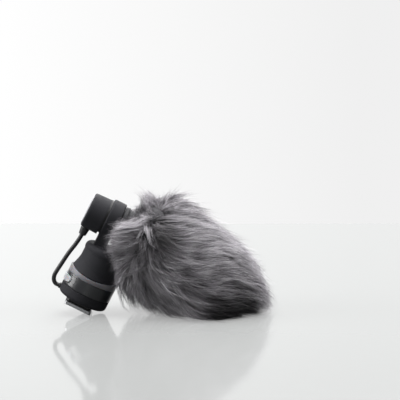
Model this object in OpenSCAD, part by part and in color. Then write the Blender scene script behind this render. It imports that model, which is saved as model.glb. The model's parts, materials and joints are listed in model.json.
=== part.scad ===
// Camera-top microphone in its furry windscreen, lying on a table.
// Modules are drawn upright: X along the barrel, Z up from the shoe foot; lie() tips them over.

/* [Pose] */
// tilt of the barrel below level as it lies
lean = 27; // [22:0.5:32]
// droop of the fur's axis from the barrel's
droop = 4; // [0:0.5:6]

/* [Shoe] */
// length of the foot along the slide
foot_l = 18.2; // [15:0.1:22]
// width of the foot, standard accessory shoe
foot_w = 18.6; // [15.5:0.1:22.4]
// thickness of the foot
foot_t = 2; // [1.6:0.1:2.4]
// gap for the shoe's rails
rail_gap = 2.8; // [2:0.1:4]
// width of the spacer between the rails
spacer_w = 12.3; // [10:0.1:14.8]
// length of the spacer
spacer_l = 16.4; // [13.6:0.1:19.7]
// how far behind the base's axis the foot is centred
foot_back = 0.3; // [0:0.1:2]

/* [Base] */
// outer radius of the base
base_r = 16.5; // [14.5:0.1:20]
// height of the lower shell
lower_h = 7.2; // [6.4:0.1:9]
// height of the upper shell
upper_h = 8; // [7.4:0.1:10]
// wall of the shells
wall = 1.6; // [1.2:0.1:2]
// rounding of the base's bottom edge
edge_r = 2.2; // [1:0.1:2.6]
// depth of the seam groove
seam_d = 0.5; // [0.3:0.1:0.9]
// half angle of the rear panel
panel_a = 55; // [48:1:60]

/* [Button] */
// length of the pill-shaped button
button_l = 22; // [18.3:0.1:24]
// height of the button
button_h = 4.2; // [3.5:0.1:4.6]
// how far the button stands out of the base
button_out = 0.6; // [0.3:0.1:1.2]
// travel of the button
button_travel = 1; // [0.6:0.1:1.2]

/* [Jack and cable] */
// bore radius of the output jack
jack_bore_r = 1.8; // [1.5:0.05:2.1]
// depth of the output jack's bore
jack_depth = 13; // [11:0.5:14]
// diameter of the link cable
cable_d = 2.8; // [2.2:0.1:3.4]
// height of the cable gland above the base's bottom
gland_rise = 2.6; // [2.4:0.1:4]

/* [Isolator and neck] */
// thickness of the isolator at its middle
pad_t = 2.5; // [2:0.1:3.5]
// radius of the saddle that the neck rocks in
saddle_r = 56; // [46:1:68]
// how far behind the base's axis the saddle is centred
saddle_back = 1.5; // [0:0.1:3]
// height of the neck from the deck to its cap
neck_h = 18; // [15:0.1:21.6]
// how far the neck stands inside the base's edge
waist_in = 1.7; // [1.4:0.1:3.5]
// how far ahead of the base's axis the neck is centred
neck_fwd = 1.2; // [0:0.1:2]
// height of the neck's cap
cap_h = 5.6; // [4.6:0.1:6.8]

/* [Head] */
// rise of the barrel's axis above the neck's cap
head_rise = 17.6; // [17:0.1:21.2]
// outer radius of the barrel
barrel_r = 9.5; // [7.9:0.1:11.4]
// wall of the barrel
barrel_wall = 0.9; // [0.7:0.1:1.3]
// reach of the barrel's nose from the base's axis
barrel_x = 50; // [44:0.5:54]
// wall of the ring that holds the barrel
ring_wall = 3.1; // [2.6:0.1:4.2]
// width of the ring
ring_w = 8.6; // [7.2:0.1:10.3]
// where the ring's front face stands behind the base's axis
ring_front = 1.2; // [0.6:0.1:2.4]
// width of the arm below the ring
arm_w = 16; // [13.4:0.1:18]
// width of the joint between the ring and the rear housing
joint_w = 1.3; // [0.8:0.1:2]
// length of the rear housing
housing_l = 11.6; // [9.7:0.1:13.9]
// wall of the rear housing over the barrel
housing_wall = 1.5; // [1.2:0.1:1.8]
// how far the rear housing hangs below the barrel's axis
housing_drop = 0.9; // [0:0.1:1.2]
// rim of the rear housing round its cap
housing_rim = 1.3; // [1:0.1:1.6]
// how far the rear cap stands out of the housing
cap_out = 0.3; // [0.2:0.1:1.2]
// crown of the rear cap
crown = 0.2; // [0.2:0.1:1]

/* [Windscreen] */
// gap between the barrel and the cuff
cuff_gap = 0.3; // [0.3:0.05:0.6]
// thickness of the cuff
cuff_t = 1; // [0.8:0.1:1.4]
// length of the cuff
cuff_l = 12.4; // [10.4:0.1:14.8]
// radius of the backing at its middle
backing_r = 18; // [16:0.1:21.6]
// reach of the backing's nose from the base's axis
backing_x = 89; // [78:0.5:98]
// thickness of the backing cloth
backing_t = 0.8; // [0.5:0.1:1.2]
// largest radius of the fur
fur_r = 34.8; // [30:0.1:41.8]
// length of the fur from the cuff to its nose
fur_l = 107.6; // [102:0.1:129]

/* [Hidden] */
$fn = 96;
eps = 0.01;
snug = 0.05;
skin = 0.1;
run = 0.3;

base_z = foot_t + rail_gap;
seam_z = base_z + lower_h;
deck_z = seam_z + upper_h;
seam_h = 0.7;
inner_r = base_r - wall;
floor_z = base_z + wall;
board_z = floor_z + 2;
board_t = 1.2;

pad_z = deck_z + pad_t;
saddle_z = pad_z + saddle_r;
pad_rim = 6;
neck_r = base_r - 0.6;
waist_r = base_r - waist_in;
cap_z = deck_z + neck_h;
cap_top = cap_z + cap_h;
cap_r = waist_r + 0.5;
lip_a = 26;
lip_t = 1.25;
lip_h = 6.5;
clear_r = base_r + 2.8;

head_z = cap_top + head_rise;
ring_r = barrel_r + ring_wall;
ring_back = ring_front + ring_w;
housing_x = -ring_back - joint_w;
housing_back = housing_x - housing_l;
housing_r = barrel_r + skin + housing_wall + housing_drop;
housing_z = head_z - housing_drop;
joint_r = barrel_r + 1.8;
barrel_back = housing_x - 3.4;
grille_x = barrel_x - 14;
bore_r = barrel_r - barrel_wall;
socket_z = cap_z - 8;

button_z = seam_z + (upper_h - wall) / 2 + 0.4;
button_r = base_r + button_out;
switch_x = -inner_r + 2.5;
boss_at = [inner_r * cos(55) * 0.82, inner_r * sin(55) * 0.82];
boss_r = 3;
screw_r = 1;
shoe_at = [5.5, 4];
jack_r = jack_bore_r + 0.7;
jack_z = deck_z - wall - 0.1 - jack_r;
jack_face = base_r - 0.5;
nut_t = 1.4;

gland_z = base_z + gland_rise;
gland_r = cable_d / 2 + 0.5;
gland_out = 0.9;
boot_x = housing_x - 7.8;
boot_low = cap_top + 0.2;
boot_top = housing_z - housing_r;
boot_r = cable_d / 2 + 1;

cuff_in = barrel_r + cuff_gap;
cuff_out = cuff_in + cuff_t;
cuff_x = -ring_front + 0.4;
hem_w = 3;
elastic_r = 0.45;
collar_r = cuff_out + skin + backing_t;
fur_x = 3;

// it rests on the foot's front edge, or on the base's bottom edge where that reaches lower
foot_low = (foot_l / 2 - foot_back) * sin(lean);
base_low = (base_r - edge_r) * sin(lean) - (base_z + edge_r) * cos(lean) + edge_r;
rest_z = max(foot_low, base_low);

// backing's outside, cuff to nose, as [x, radius]
backing = [
  [5, collar_r], [9, collar_r + 0.5], [13, collar_r + 2], [18, backing_r - 1.2],
  [24, backing_r], [40, backing_r], [backing_x - 29, backing_r - 0.6],
  [backing_x - 17, backing_r - 2], [backing_x - 9, backing_r - 4.8],
  [backing_x - 4, backing_r - 8.6], [backing_x - 1, backing_r - 13.2], [backing_x, 0]
];

// fur's outside behind its widest place, as [distance from the cuff, radius]
fur_rear = [
  [0, collar_r + skin], [0.6, collar_r + 3.3], [1.6, collar_r + 7.3], [3.5, fur_r - 11.3],
  [7, fur_r - 6.5], [12, fur_r - 2.5], [18, fur_r - 0.4], [24, fur_r]
];
// fur's outside from there to its nose, as [distance back from the nose, radius]
fur_nose = [
  [77.6, fur_r - 0.2], [69.6, fur_r - 2.2], [56.6, fur_r - 4.8], [43.6, fur_r - 7.5],
  [33.6, fur_r - 9.8], [26.1, fur_r - 12.2], [19.6, fur_r - 15.4], [13.6, 15.4],
  [8.1, 11.2], [3.6, 6.8], [0.8, 3], [0, 0]
];
fur = concat(fur_rear, [for (p = fur_nose) [fur_l - p[0], p[1]]]);

// centre line of the link cable, as [x, z]
cable_path = [
  [boot_x, boot_low + 4], [boot_x, boot_low], [boot_x - 0.25, boot_low - 3],
  [-base_r - 3.3, 36], [-base_r - 4.7, 29], [-base_r - 5.8, 20], [-base_r - 6.4, gland_z + 7],
  [-base_r - 6.4, gland_z + 4.2], [-base_r - 5.6, gland_z + 1.8], [-base_r - 4.2, gland_z + 0.3],
  [-base_r - 2.5, gland_z - 0.25], [-base_r - 1, gland_z - 0.02], [-base_r + 1.3, gland_z]
];

// the whole is centred on X between the gland and the fur's nose
low_x = -(base_r + gland_out) * cos(lean) + (gland_z - gland_r) * sin(lean);
fur_reach = max([for (p = fur) p[0] * cos(lean + droop) + p[1] * sin(lean + droop)]);
high_x = fur_x * cos(lean) + head_z * sin(lean) + fur_reach;
shift_x = -(low_x + high_x) / 2;

function arc(c, r, a, b, n = 8) =
  [for (i = [0:n]) c + r * [cos(a + (b - a) * i / n), sin(a + (b - a) * i / n)]];
function unit(v) = v / norm(v);
function side(v) = [-v[1], v[0]];
function heading(path, i) =
  unit(path[min(i + 1, len(path) - 1)] - path[max(i - 1, 0)]);
// a profile moved inwards by t; its ends stay on their own planes
function inset(path, t) = [
  for (i = [0:len(path) - 1])
    let (q = path[i] - t * side(heading(path, i)))
      i == 0 ? [path[0][0], path[0][1] - t] :
      i == len(path) - 1 ? [path[i][0] - t, 0] : q
];
function rounded(l, w, r) = concat(
  arc([l / 2 - r, w / 2 - r], r, 0, 90, 6), arc([r - l / 2, w / 2 - r], r, 90, 180, 6),
  arc([r - l / 2, r - w / 2], r, 180, 270, 6), arc([l / 2 - r, r - w / 2], r, 270, 360, 6)
);
function reversed(path) = [for (i = [len(path) - 1:-1:0]) path[i]];

module lie() {
  translate([shift_x, 0, rest_z]) rotate([0, lean, 0]) children();
}

// a profile of [x, radius] points turned about the barrel's axis, or about a line level with it
module turned(points, z = head_z) {
  translate([0, 0, z]) rotate([0, 90, 0]) rotate_extrude()
    polygon([for (p = points) [p[1], p[0]]]);
}

module along_x(r, x0, x1, z) {
  translate([x0, 0, z]) rotate([0, 90, 0]) cylinder(r = r, h = x1 - x0);
}

module along_y(r, y0, y1, z) {
  translate([0, y0, z]) rotate([-90, 0, 0]) cylinder(r = r, h = y1 - y0);
}

module pill(l, h, x0, x1) {
  translate([x0, 0, button_z]) rotate([90, 0, 90]) linear_extrude(height = x1 - x0) {
    square([l - h, h], center = true);
    translate([(l - h) / 2, 0]) circle(d = h);
    translate([(h - l) / 2, 0]) circle(d = h);
  }
}

module shoe_places() {
  for (x = [-1, 1], y = [-1, 1])
    translate([x * shoe_at[0] - foot_back, y * shoe_at[1], 0]) children();
}

module boss_places() {
  for (y = [-1, 1]) translate([boss_at[0], y * boss_at[1], 0]) children();
}

module saddle(gap = 0) {
  translate([-saddle_back, 0, saddle_z]) rotate([90, 0, 0])
    cylinder(r = saddle_r - gap, h = 4 * base_r, center = true, $fn = 240);
}

module arm_stem(gap, z0, z1) {
  l = ring_w - 0.8 + 2 * gap;
  translate([-ring_back + 0.4 - gap, -arm_w / 2 - gap, z0]) cube([l, arm_w + 2 * gap, z1 - z0]);
}

module arm_screw_places() {
  for (y = [-1, 1]) translate([-ring_front - ring_w / 2, y * 4.5, 0]) children();
}

module slots(x0, x1, w) {
  for (i = [0:4])
    translate([0, 0, head_z]) rotate([36 * i, 0, 0])
      translate([x0, -w / 2, -2 * barrel_r]) cube([x1 - x0, w, 4 * barrel_r]);
}

module cord(path, d, sides = 8) {
  n = len(path);
  points = [
    for (i = [0:n - 1], k = [0:sides - 1])
      let (s = side(heading(path, i)), a = 360 * k / sides, c = d / 2 * cos(a))
        [path[i][0] + c * s[0], d / 2 * sin(a), path[i][1] + c * s[1]]
  ];
  sheath = [
    for (i = [0:n - 2], k = [0:sides - 1])
      let (k1 = (k + 1) % sides)
        [i * sides + k, i * sides + k1, (i + 1) * sides + k1, (i + 1) * sides + k]
  ];
  first = [for (k = [sides - 1:-1:0]) k];
  last = [for (k = [0:sides - 1]) (n - 1) * sides + k];
  polyhedron(points, concat(sheath, [first], [last]), convexity = 4);
}

module fur_cover() {
  color("#6b686d") difference() {
    lie() difference() {
      translate([fur_x, 0, head_z]) rotate([0, 90 + droop, 0]) rotate_extrude()
        polygon(concat([[0, 0]], [for (p = fur) [p[1], p[0]]]));
      turned(concat([[5 - eps, 0]], inset(backing, -snug)));
      along_x(collar_r + skin, -20, 8, head_z);
      cylinder(r = clear_r, h = cap_top + 0.6);
      translate([-60, -clear_r, 0]) cube([60, 2 * clear_r, cap_top + 0.6]);
    }
    translate([-250, -250, -100]) cube([500, 500, 100]);
  }
}

module backing_cloth() {
  color("#3a383c") lie() turned(concat(backing, reversed(inset(backing, backing_t))));
}

module foam_core() {
  body = [for (p = inset(backing, backing_t + skin)) if (p[0] > 12) p];
  color("#26262a") lie() difference() {
    turned(concat([[body[0][0], 0]], body));
    turned(concat([[0, 0], [0, cuff_in + skin]],
      arc([barrel_x - 4, 0], cuff_in + skin, 90, 0, 10)));
  }
}

module cuff_band() {
  hem_r = cuff_out + 0.6;
  color("#2b2b2e") lie() difference() {
    turned([
      [cuff_x, cuff_in], [cuff_x, hem_r - 0.4], [cuff_x + 0.4, hem_r],
      [cuff_x + hem_w - 0.4, hem_r], [cuff_x + hem_w, cuff_out],
      [cuff_x + cuff_l, cuff_out], [cuff_x + cuff_l, cuff_in]
    ]);
    turned(arc([cuff_x + hem_w / 2, (cuff_in + hem_r) / 2], elastic_r, 0, 345, 23));
  }
}

module cuff_elastic() {
  at = [cuff_x + hem_w / 2, (cuff_in + cuff_out + 0.6) / 2];
  color("#161618") lie() turned(arc(at, elastic_r - snug, 0, 345, 23));
}

module barrel_tube() {
  color("#1b1b1d") lie() difference() {
    along_x(barrel_r, barrel_back, grille_x, head_z);
    along_x(bore_r, barrel_back - eps, grille_x + eps, head_z);
    slots(14, 22, 1.8);
    slots(24.5, grille_x - 3.5, 1.8);
  }
}

module front_grille() {
  centre = [barrel_x - barrel_r, 0];
  color("#222225") lie() difference() {
    turned(concat([[grille_x, bore_r - 0.2], [grille_x, barrel_r]],
      arc(centre, barrel_r, 90, 0, 12), arc(centre, bore_r - 0.2, 0, 90, 12)));
    slots(grille_x + 2, barrel_x - 3.5, 1.6);
  }
}

module acoustic_sleeve() {
  color("#101012") lie() difference() {
    along_x(bore_r - skin, 12, grille_x - 0.4, head_z);
    along_x(bore_r - skin - 0.3, 12 - eps, grille_x, head_z);
  }
}

module capsule() {
  color("#b9b9bd") lie() difference() {
    along_x(bore_r - 1.8, grille_x - 9, grille_x - 2, head_z);
    along_x(bore_r - 3.6, grille_x - 2.5, grille_x - 2 + eps, head_z);
  }
}

module capsule_holder() {
  color("#18181a") lie() difference() {
    along_x(bore_r - skin - 0.35, grille_x - 10, grille_x - 3, head_z);
    along_x(bore_r - 1.75, grille_x - 9 - eps, grille_x, head_z);
    along_x(2.5, grille_x - 11, grille_x, head_z);
  }
}

module preamp_board() {
  color("#1d5a34") lie()
    translate([barrel_back + 1, 1.4 - bore_r, head_z - 0.6])
      cube([grille_x - 12 - barrel_back, 2 * bore_r - 2.8, 1.2]);
}

module arm() {
  color("#202023") lie() difference() {
    union() {
      turned(concat([[-ring_front, barrel_r - 1]],
        arc([-ring_front - 1, ring_r - 1], 1, 0, 90, 6),
        arc([1 - ring_back, ring_r - 1], 1, 90, 180, 6), [[-ring_back, barrel_r - 1]]));
      arm_stem(0, socket_z, head_z - barrel_r);
    }
    along_x(barrel_r + snug, -ring_back - 1, 1 - ring_front, head_z);
    arm_screw_places() translate([0, 0, socket_z - 1]) cylinder(r = 1.25, h = 8.4);
  }
}

module joint_ring() {
  color("#0e0e10") lie() difference() {
    along_x(joint_r, housing_x + eps, -ring_back - eps, head_z);
    along_x(barrel_r + snug, housing_x - 1, 1 - ring_back, head_z);
  }
}

module rear_housing() {
  lip_r = housing_r - 0.4 - housing_rim;
  seat = housing_back + 1.3;
  color("#232326") lie() difference() {
    turned(concat([[housing_x, 0], [housing_x, housing_r]],
      arc([housing_back + 1.4, housing_r - 1.8], 1.4, 90, 180, 6),
      [[housing_back, lip_r], [seat, lip_r], [seat, lip_r - 1], [seat + 1, lip_r - 1],
       [seat + 1, 0]]), housing_z);
    along_x(barrel_r + skin, seat + 0.6, housing_x + 1, head_z);
    translate([boot_x, 0, boot_top - 3]) cylinder(r = boot_r + snug, h = 8);
  }
}

module rear_cap() {
  r = housing_r - 0.4 - housing_rim - skin;
  dome = (r * r + crown * crown) / (2 * crown);
  half = asin(r / dome);
  color("#c9c9cc") lie()
    turned(concat([[housing_back + 1.3, 0], [housing_back + 1.3, r]],
      arc([housing_back - cap_out - crown + dome, 0], dome, 180 - half, 180, 8)), housing_z);
}

module cable_boot() {
  color("#19191b") lie() difference() {
    union() {
      translate([boot_x, 0, boot_low]) cylinder(r1 = boot_r, r2 = boot_r + 0.6,
        h = boot_top - 0.1 - boot_low);
      translate([boot_x, 0, boot_low]) cylinder(r = boot_r, h = boot_top - boot_low + 3);
    }
    translate([boot_x, 0, boot_low - eps])
      cylinder(r = cable_d / 2 + snug, h = boot_top - boot_low + 4);
  }
}

module link_cable() {
  color("#141416") lie() cord(cable_path, cable_d);
}

module neck() {
  color("#222225") lie() difference() {
    intersection() {
      union() {
        rotate_extrude() polygon([
          [0, deck_z], [neck_r, deck_z], [neck_r, pad_z + 1], [neck_r - 1, pad_z + 4],
          [neck_r - 1.8, pad_z + 7], [neck_r - 2.4, pad_z + 10], [0, pad_z + 10]
        ]);
        translate([neck_fwd, 0, deck_z]) cylinder(r = waist_r, h = neck_h);
      }
      saddle(snug);
    }
    arm_stem(snug, socket_z, cap_z + 1);
    arm_screw_places() translate([0, 0, deck_z]) {
      cylinder(r = 2.3, h = socket_z - 4 - deck_z);
      cylinder(r = 1.3, h = neck_h);
    }
  }
}

module neck_cap() {
  color("#242427") lie() difference() {
    translate([neck_fwd, 0, 0]) rotate_extrude() polygon(concat(
      [[0, cap_z], [cap_r - 0.2, cap_z]], arc([cap_r - 3.4, cap_z + 1.6], 3.4, -8, 60, 8),
      [[cap_r - 5.5, cap_top], [0, cap_top]]));
    arm_stem(skin, cap_z - 1, cap_top + 1);
  }
}

module arm_screws() {
  color("#8d8d92") lie() arm_screw_places() {
    translate([0, 0, socket_z - 5.8]) cylinder(r = 2.2, h = 1.8);
    translate([0, 0, socket_z - 5]) cylinder(r = 1.2, h = 11.6);
  }
}

module isolator() {
  lip_r = waist_r + skin;
  color("#9a9a9e") lie() {
    difference() {
      translate([0, 0, deck_z]) cylinder(r = base_r, h = pad_rim);
      saddle();
    }
    translate([neck_fwd, 0, 0]) rotate([0, 0, -lip_a]) rotate_extrude(angle = 2 * lip_a)
      polygon([[lip_r, pad_z], [lip_r + lip_t - 0.9, pad_z], [lip_r + lip_t, pad_z + 1.8],
        [lip_r + lip_t, pad_z + lip_h], [lip_r, pad_z + lip_h + 0.6]]);
  }
}

module base_upper_shell() {
  color("#17171a") lie() difference() {
    union() {
      difference() {
        translate([0, 0, seam_z]) cylinder(r = base_r, h = upper_h);
        translate([0, 0, seam_z - 1]) cylinder(r = inner_r, h = upper_h + 1 - wall);
      }
      boss_places() translate([0, 0, seam_z]) cylinder(r = boss_r - 0.4, h = upper_h - wall / 2);
    }
    rotate([0, 0, 180 - panel_a]) rotate_extrude(angle = 2 * panel_a)
      translate([inner_r - 0.1, seam_z - 1]) square([3 * wall, upper_h]);
    along_y(jack_r + snug, 5, base_r + 1, jack_z);
    along_y(jack_r + 1.3, jack_face, base_r + 1, jack_z);
    boss_places() translate([0, 0, seam_z - 1]) cylinder(r = screw_r + snug, h = 5.2);
  }
}

module base_lower_shell() {
  color("#202023") lie() difference() {
    union() {
      rotate_extrude() polygon(concat([[0, base_z]],
        arc([base_r - edge_r, base_z + edge_r], edge_r, -90, 0, 8),
        [[base_r, seam_z - seam_h], [base_r - seam_d, seam_z - seam_h],
         [base_r - seam_d, seam_z - eps], [inner_r, seam_z - eps], [inner_r, floor_z],
         [0, floor_z]]));
      boss_places() translate([0, 0, floor_z - 0.5]) cylinder(r = boss_r, h = seam_z - floor_z + 0.4);
      shoe_places() translate([0, 0, floor_z - 0.5]) cylinder(r = 2.2, h = 2.5);
    }
    boss_places() {
      translate([0, 0, base_z - 1]) cylinder(r = 1.95, h = 2.4);
      translate([0, 0, base_z - 1]) cylinder(r = screw_r + snug, h = lower_h + 2);
    }
    shoe_places() translate([0, 0, base_z - 1]) cylinder(r = screw_r + snug, h = 3.8);
    along_x(gland_r + snug, -base_r - 2, 1 - inner_r, gland_z);
  }
}

module rear_panel() {
  a = panel_a - 0.4;
  color("#131316") lie() difference() {
    rotate([0, 0, 180 - a]) rotate_extrude(angle = 2 * a)
      translate([inner_r, seam_z + 0.15]) square([wall, upper_h - 1.3]);
    pill(button_l + 2 * run, button_h + 2 * run, -base_r - 5, 0);
  }
}

module base_board() {
  color("#1d5a34") lie() difference() {
    translate([0, 0, board_z]) cylinder(r = inner_r - 0.4, h = board_t);
    boss_places() translate([0, 0, board_z - 1]) cylinder(r = boss_r + 0.2, h = 4);
  }
}

module tact_switch() {
  h = upper_h + seam_z - wall - 0.4 - board_z - board_t;
  color("#2c2c30") lie() {
    translate([switch_x + 1.2, -3, board_z + board_t]) cube([3.5, 6, h]);
    along_x(1.6, switch_x, switch_x + 1.3, button_z);
  }
}

module output_jack() {
  low = board_z + board_t;
  color("#1a1a1c") lie() difference() {
    union() {
      translate([-jack_r - 0.6, jack_face + nut_t - jack_depth - 1.4, low])
        cube([2 * jack_r + 1.2, jack_depth - 2.6 - nut_t, jack_z + jack_r - low]);
      along_y(jack_r, jack_face - 5, jack_face + nut_t, jack_z);
    }
    along_y(jack_bore_r, jack_face + nut_t - jack_depth, jack_face + nut_t + 1, jack_z);
  }
}

module jack_nut() {
  color("#a9a9ad") lie() difference() {
    along_y(jack_r + 1, jack_face, jack_face + nut_t - 0.2, jack_z);
    along_y(jack_r + snug, jack_face - 1, jack_face + nut_t + 1, jack_z);
  }
}

module cable_gland() {
  color("#151517") lie() difference() {
    along_x(gland_r, -base_r - gland_out, -inner_r + 0.2, gland_z);
    along_x(cable_d / 2 + snug, -base_r - 3, -inner_r + 1, gland_z);
  }
}

module shoe_spacer() {
  color("#1a1a1d") lie() difference() {
    translate([-foot_back, 0, foot_t]) linear_extrude(height = rail_gap)
      polygon(rounded(spacer_l, spacer_w, 1.5));
    shoe_places() cylinder(r = screw_r + snug, h = 3 * base_z);
  }
}

module shoe_foot() {
  color("#b4b4b8") lie() difference() {
    translate([-foot_back, 0, 0]) linear_extrude(height = foot_t)
      polygon(rounded(foot_l, foot_w, 1.2));
    shoe_places() {
      translate([0, 0, -eps]) cylinder(r1 = 1.95, r2 = screw_r + snug, h = 0.95);
      translate([0, 0, -1]) cylinder(r = screw_r + snug, h = foot_t + 2);
    }
  }
}

module shoe_screws() {
  color("#7d7d82") lie() shoe_places() {
    translate([0, 0, 0.05]) cylinder(r1 = 1.85, r2 = screw_r, h = 0.9);
    translate([0, 0, 0.5]) cylinder(r = screw_r, h = base_z + 2);
  }
}

module base_screws() {
  color("#7d7d82") lie() boss_places() {
    translate([0, 0, base_z + 0.2]) cylinder(r = 1.85, h = 1.2);
    translate([0, 0, base_z + 1]) cylinder(r = screw_r, h = lower_h + 2.8);
  }
}

module function_button() {
  flange_r = inner_r - run;
  color("#d4d4d6") lie() {
    intersection() {
      pill(button_l, button_h, -button_r - 1, 0);
      difference() {
        translate([0, 0, seam_z]) cylinder(r = button_r, h = upper_h);
        translate([0, 0, seam_z - 1]) cylinder(r = flange_r - 0.6, h = upper_h + 2);
      }
    }
    intersection() {
      pill(button_l + 1, button_h + 1, -button_r - 1, 0);
      difference() {
        translate([0, 0, seam_z]) cylinder(r = flange_r, h = upper_h);
        translate([0, 0, seam_z - 1]) cylinder(r = flange_r - 0.8, h = upper_h + 2);
      }
    }
    along_x(1.5, -flange_r + 0.3, switch_x - button_travel - skin, button_z);
  }
}

fur_cover();
backing_cloth();
foam_core();
cuff_band();
cuff_elastic();
barrel_tube();
front_grille();
acoustic_sleeve();
capsule();
capsule_holder();
preamp_board();
arm();
joint_ring();
rear_housing();
rear_cap();
cable_boot();
link_cable();
neck();
neck_cap();
arm_screws();
isolator();
base_upper_shell();
base_lower_shell();
rear_panel();
base_board();
tact_switch();
output_jack();
jack_nut();
cable_gland();
shoe_spacer();
shoe_foot();
shoe_screws();
base_screws();
function_button();
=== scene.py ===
"""A camera-top microphone lying on a pale table in its furry windscreen.

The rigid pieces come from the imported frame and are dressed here. The soft ones are modelled here: the fur
with its tufts, the knitted cuff, the cloth and foam under the fur, the rubber isolator and the link cable.
Lengths are millimetres unless a name says otherwise. The microphone's upright frame is (u, y, v): u forward
along the barrel, y across it, v up from the shoe foot.
"""

import json
import logging
import math
from dataclasses import dataclass, field
from enum import Enum

import bmesh
import bpy
import numpy as np
from mathutils import Matrix


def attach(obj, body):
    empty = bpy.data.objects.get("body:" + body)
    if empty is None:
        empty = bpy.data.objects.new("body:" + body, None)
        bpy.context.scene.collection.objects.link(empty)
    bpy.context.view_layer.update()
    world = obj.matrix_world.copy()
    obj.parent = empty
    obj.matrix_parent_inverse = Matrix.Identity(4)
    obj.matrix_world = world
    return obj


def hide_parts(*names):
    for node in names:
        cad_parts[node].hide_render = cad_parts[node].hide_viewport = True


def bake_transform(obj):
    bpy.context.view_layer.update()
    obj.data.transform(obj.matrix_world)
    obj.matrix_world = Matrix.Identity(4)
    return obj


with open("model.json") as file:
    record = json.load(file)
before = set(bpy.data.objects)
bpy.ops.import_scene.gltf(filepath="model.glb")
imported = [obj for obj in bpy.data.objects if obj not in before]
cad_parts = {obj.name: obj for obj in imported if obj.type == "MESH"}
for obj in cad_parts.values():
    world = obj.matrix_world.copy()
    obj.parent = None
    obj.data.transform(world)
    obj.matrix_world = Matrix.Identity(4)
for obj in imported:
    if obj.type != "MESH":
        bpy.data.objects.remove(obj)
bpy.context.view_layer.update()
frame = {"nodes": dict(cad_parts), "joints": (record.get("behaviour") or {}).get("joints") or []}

MM = 0.001
# Least length that is divided by
TINY = 1e-6
# Points of a surface that are nearer than this are one point
SAME_POINT = 0.001
LOG = logging.getLogger("windscreen")
Array = np.ndarray
Pair = tuple[float, float]
# Where a change starts and where it is full, or a lowest and a highest value
Span = Pair
Socket = bpy.types.NodeSocket

# Sockets of Blender's Mix node when it mixes colours
MIX_A, MIX_B, MIX_OUT = 6, 7, 2
# Map that holds a strand's shade and its tone along the strand, which carries painted shade, and map that
# holds millimetres of cloth
FUR_MAP, CLOTH_MAP = "OFBake", "Cloth"


def linear(hex_colour: str) -> tuple[float, float, float, float]:
    """Turns an sRGB hex colour such as #6b696d into linear RGBA.

    Args:
        hex_colour: colour as it would be written for a screen.

    Returns:
        Red, green, blue and an alpha of 1, in linear light.
    """
    srgb = np.array([int(hex_colour[i:i + 2], 16) for i in (1, 3, 5)]) / 255
    light = np.where(srgb <= 0.04045, srgb / 12.92, ((srgb + 0.055) / 1.055) ** 2.4)
    return (*light.tolist(), 1.0)


def add(tree: bpy.types.NodeTree, kind: str, inputs: dict | None = None, **settings) -> bpy.types.Node:
    """Adds one node, sets its own properties and fills its sockets.

    Args:
        tree: tree that the node goes into.
        kind: Blender's name for the type of node.
        inputs: socket name or number, and the value or the output socket that fills it.
        settings: properties of the node itself.

    Returns:
        The new node.
    """
    made = tree.nodes.new(kind)
    for key, value in settings.items():
        setattr(made, key, value)
    for key, value in (inputs or {}).items():
        if isinstance(value, Socket):
            tree.links.new(value, made.inputs[key])
        else:
            made.inputs[key].default_value = value
    return made


def start_material(name: str) -> tuple[bpy.types.Material, bpy.types.NodeTree, bpy.types.Node]:
    """Makes a material with nodes, and returns it with its tree and its Principled shader."""
    made = bpy.data.materials.new(name)
    made.use_nodes = True
    return made, made.node_tree, made.node_tree.nodes["Principled BSDF"]


def link(name: str, data: bpy.types.ID) -> bpy.types.Object:
    """Makes an object of its data and puts it into the scene."""
    made = bpy.data.objects.new(name, data)
    bpy.context.scene.collection.objects.link(made)
    return made


def stand(item: bpy.types.Object, axes: Array, place: Array) -> None:
    """Turns an object's own axes to lie along the rows of axes, and sets it at a place in millimetres."""
    turn = np.eye(4)
    turn[:3, :3] = axes.T
    turn[:3, 3] = place * MM
    item.matrix_world = Matrix(turn.tolist())


def around(steps: int) -> Array:
    """Gives evenly spaced angles of a full turn, the last one short of the first."""
    return np.linspace(0, 2 * np.pi, steps, endpoint=False)


def walk(line: Array) -> Array:
    """Gives the distance walked along a line of points, from 0 at its first."""
    return np.concatenate([[0], np.cumsum(np.linalg.norm(np.diff(line, axis=0), axis=1))])


def unit(vectors: Array) -> Array:
    """Scales vectors, held in the last axis, to a length of 1."""
    return vectors / np.maximum(np.linalg.norm(vectors, axis=-1, keepdims=True), 1e-9)


def smooth(low: float, high: float, values: Array) -> Array:
    """Eases from 0 at low to 1 at high."""
    share = np.clip((values - low) / (high - low), 0, 1)
    return share * share * (3 - 2 * share)


@dataclass(frozen=True)
class UprightFrame:
    """The microphone's upright frame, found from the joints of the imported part.

    The slide runs along the barrel, and the isolator's hinge stands at a known place (u, v), so those two
    give the frame's axes and its origin in the part's own frame.
    """

    axes: Array
    origin: Array

    @classmethod
    def from_joints(cls, joints: list[dict], saddle: Pair = (-1.5, 78.5)) -> "UprightFrame":
        """Works the frame out.

        Args:
            joints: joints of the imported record.
            saddle: place (u, v) of the isolator's hinge axis.

        Returns:
            The frame.
        """
        by_name = {joint["name"]: joint for joint in joints}
        forward = -unit(np.array(by_name["windscreen_slide"]["axis"], float))
        axes = np.array([forward, (0, 1, 0), (-forward[2], 0, forward[0])])
        pivot = np.array(by_name["isolator_flex"]["pos_m"]) / MM
        return cls(axes, pivot - np.array((saddle[0], 0, saddle[1])) @ axes)

    def place(self, upright: Array) -> Array:
        """Turns (u, y, v) into (x, y, z) of the part, both in millimetres."""
        return self.origin + upright @ self.axes

    def upright(self, placed: Array) -> Array:
        """Turns (x, y, z) of the part into (u, y, v)."""
        return (placed - self.origin) @ self.axes.T


MIC = UprightFrame.from_joints(frame["joints"])
# Height of the barrel's axis over the shoe foot
HEAD_V = 61.2


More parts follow.
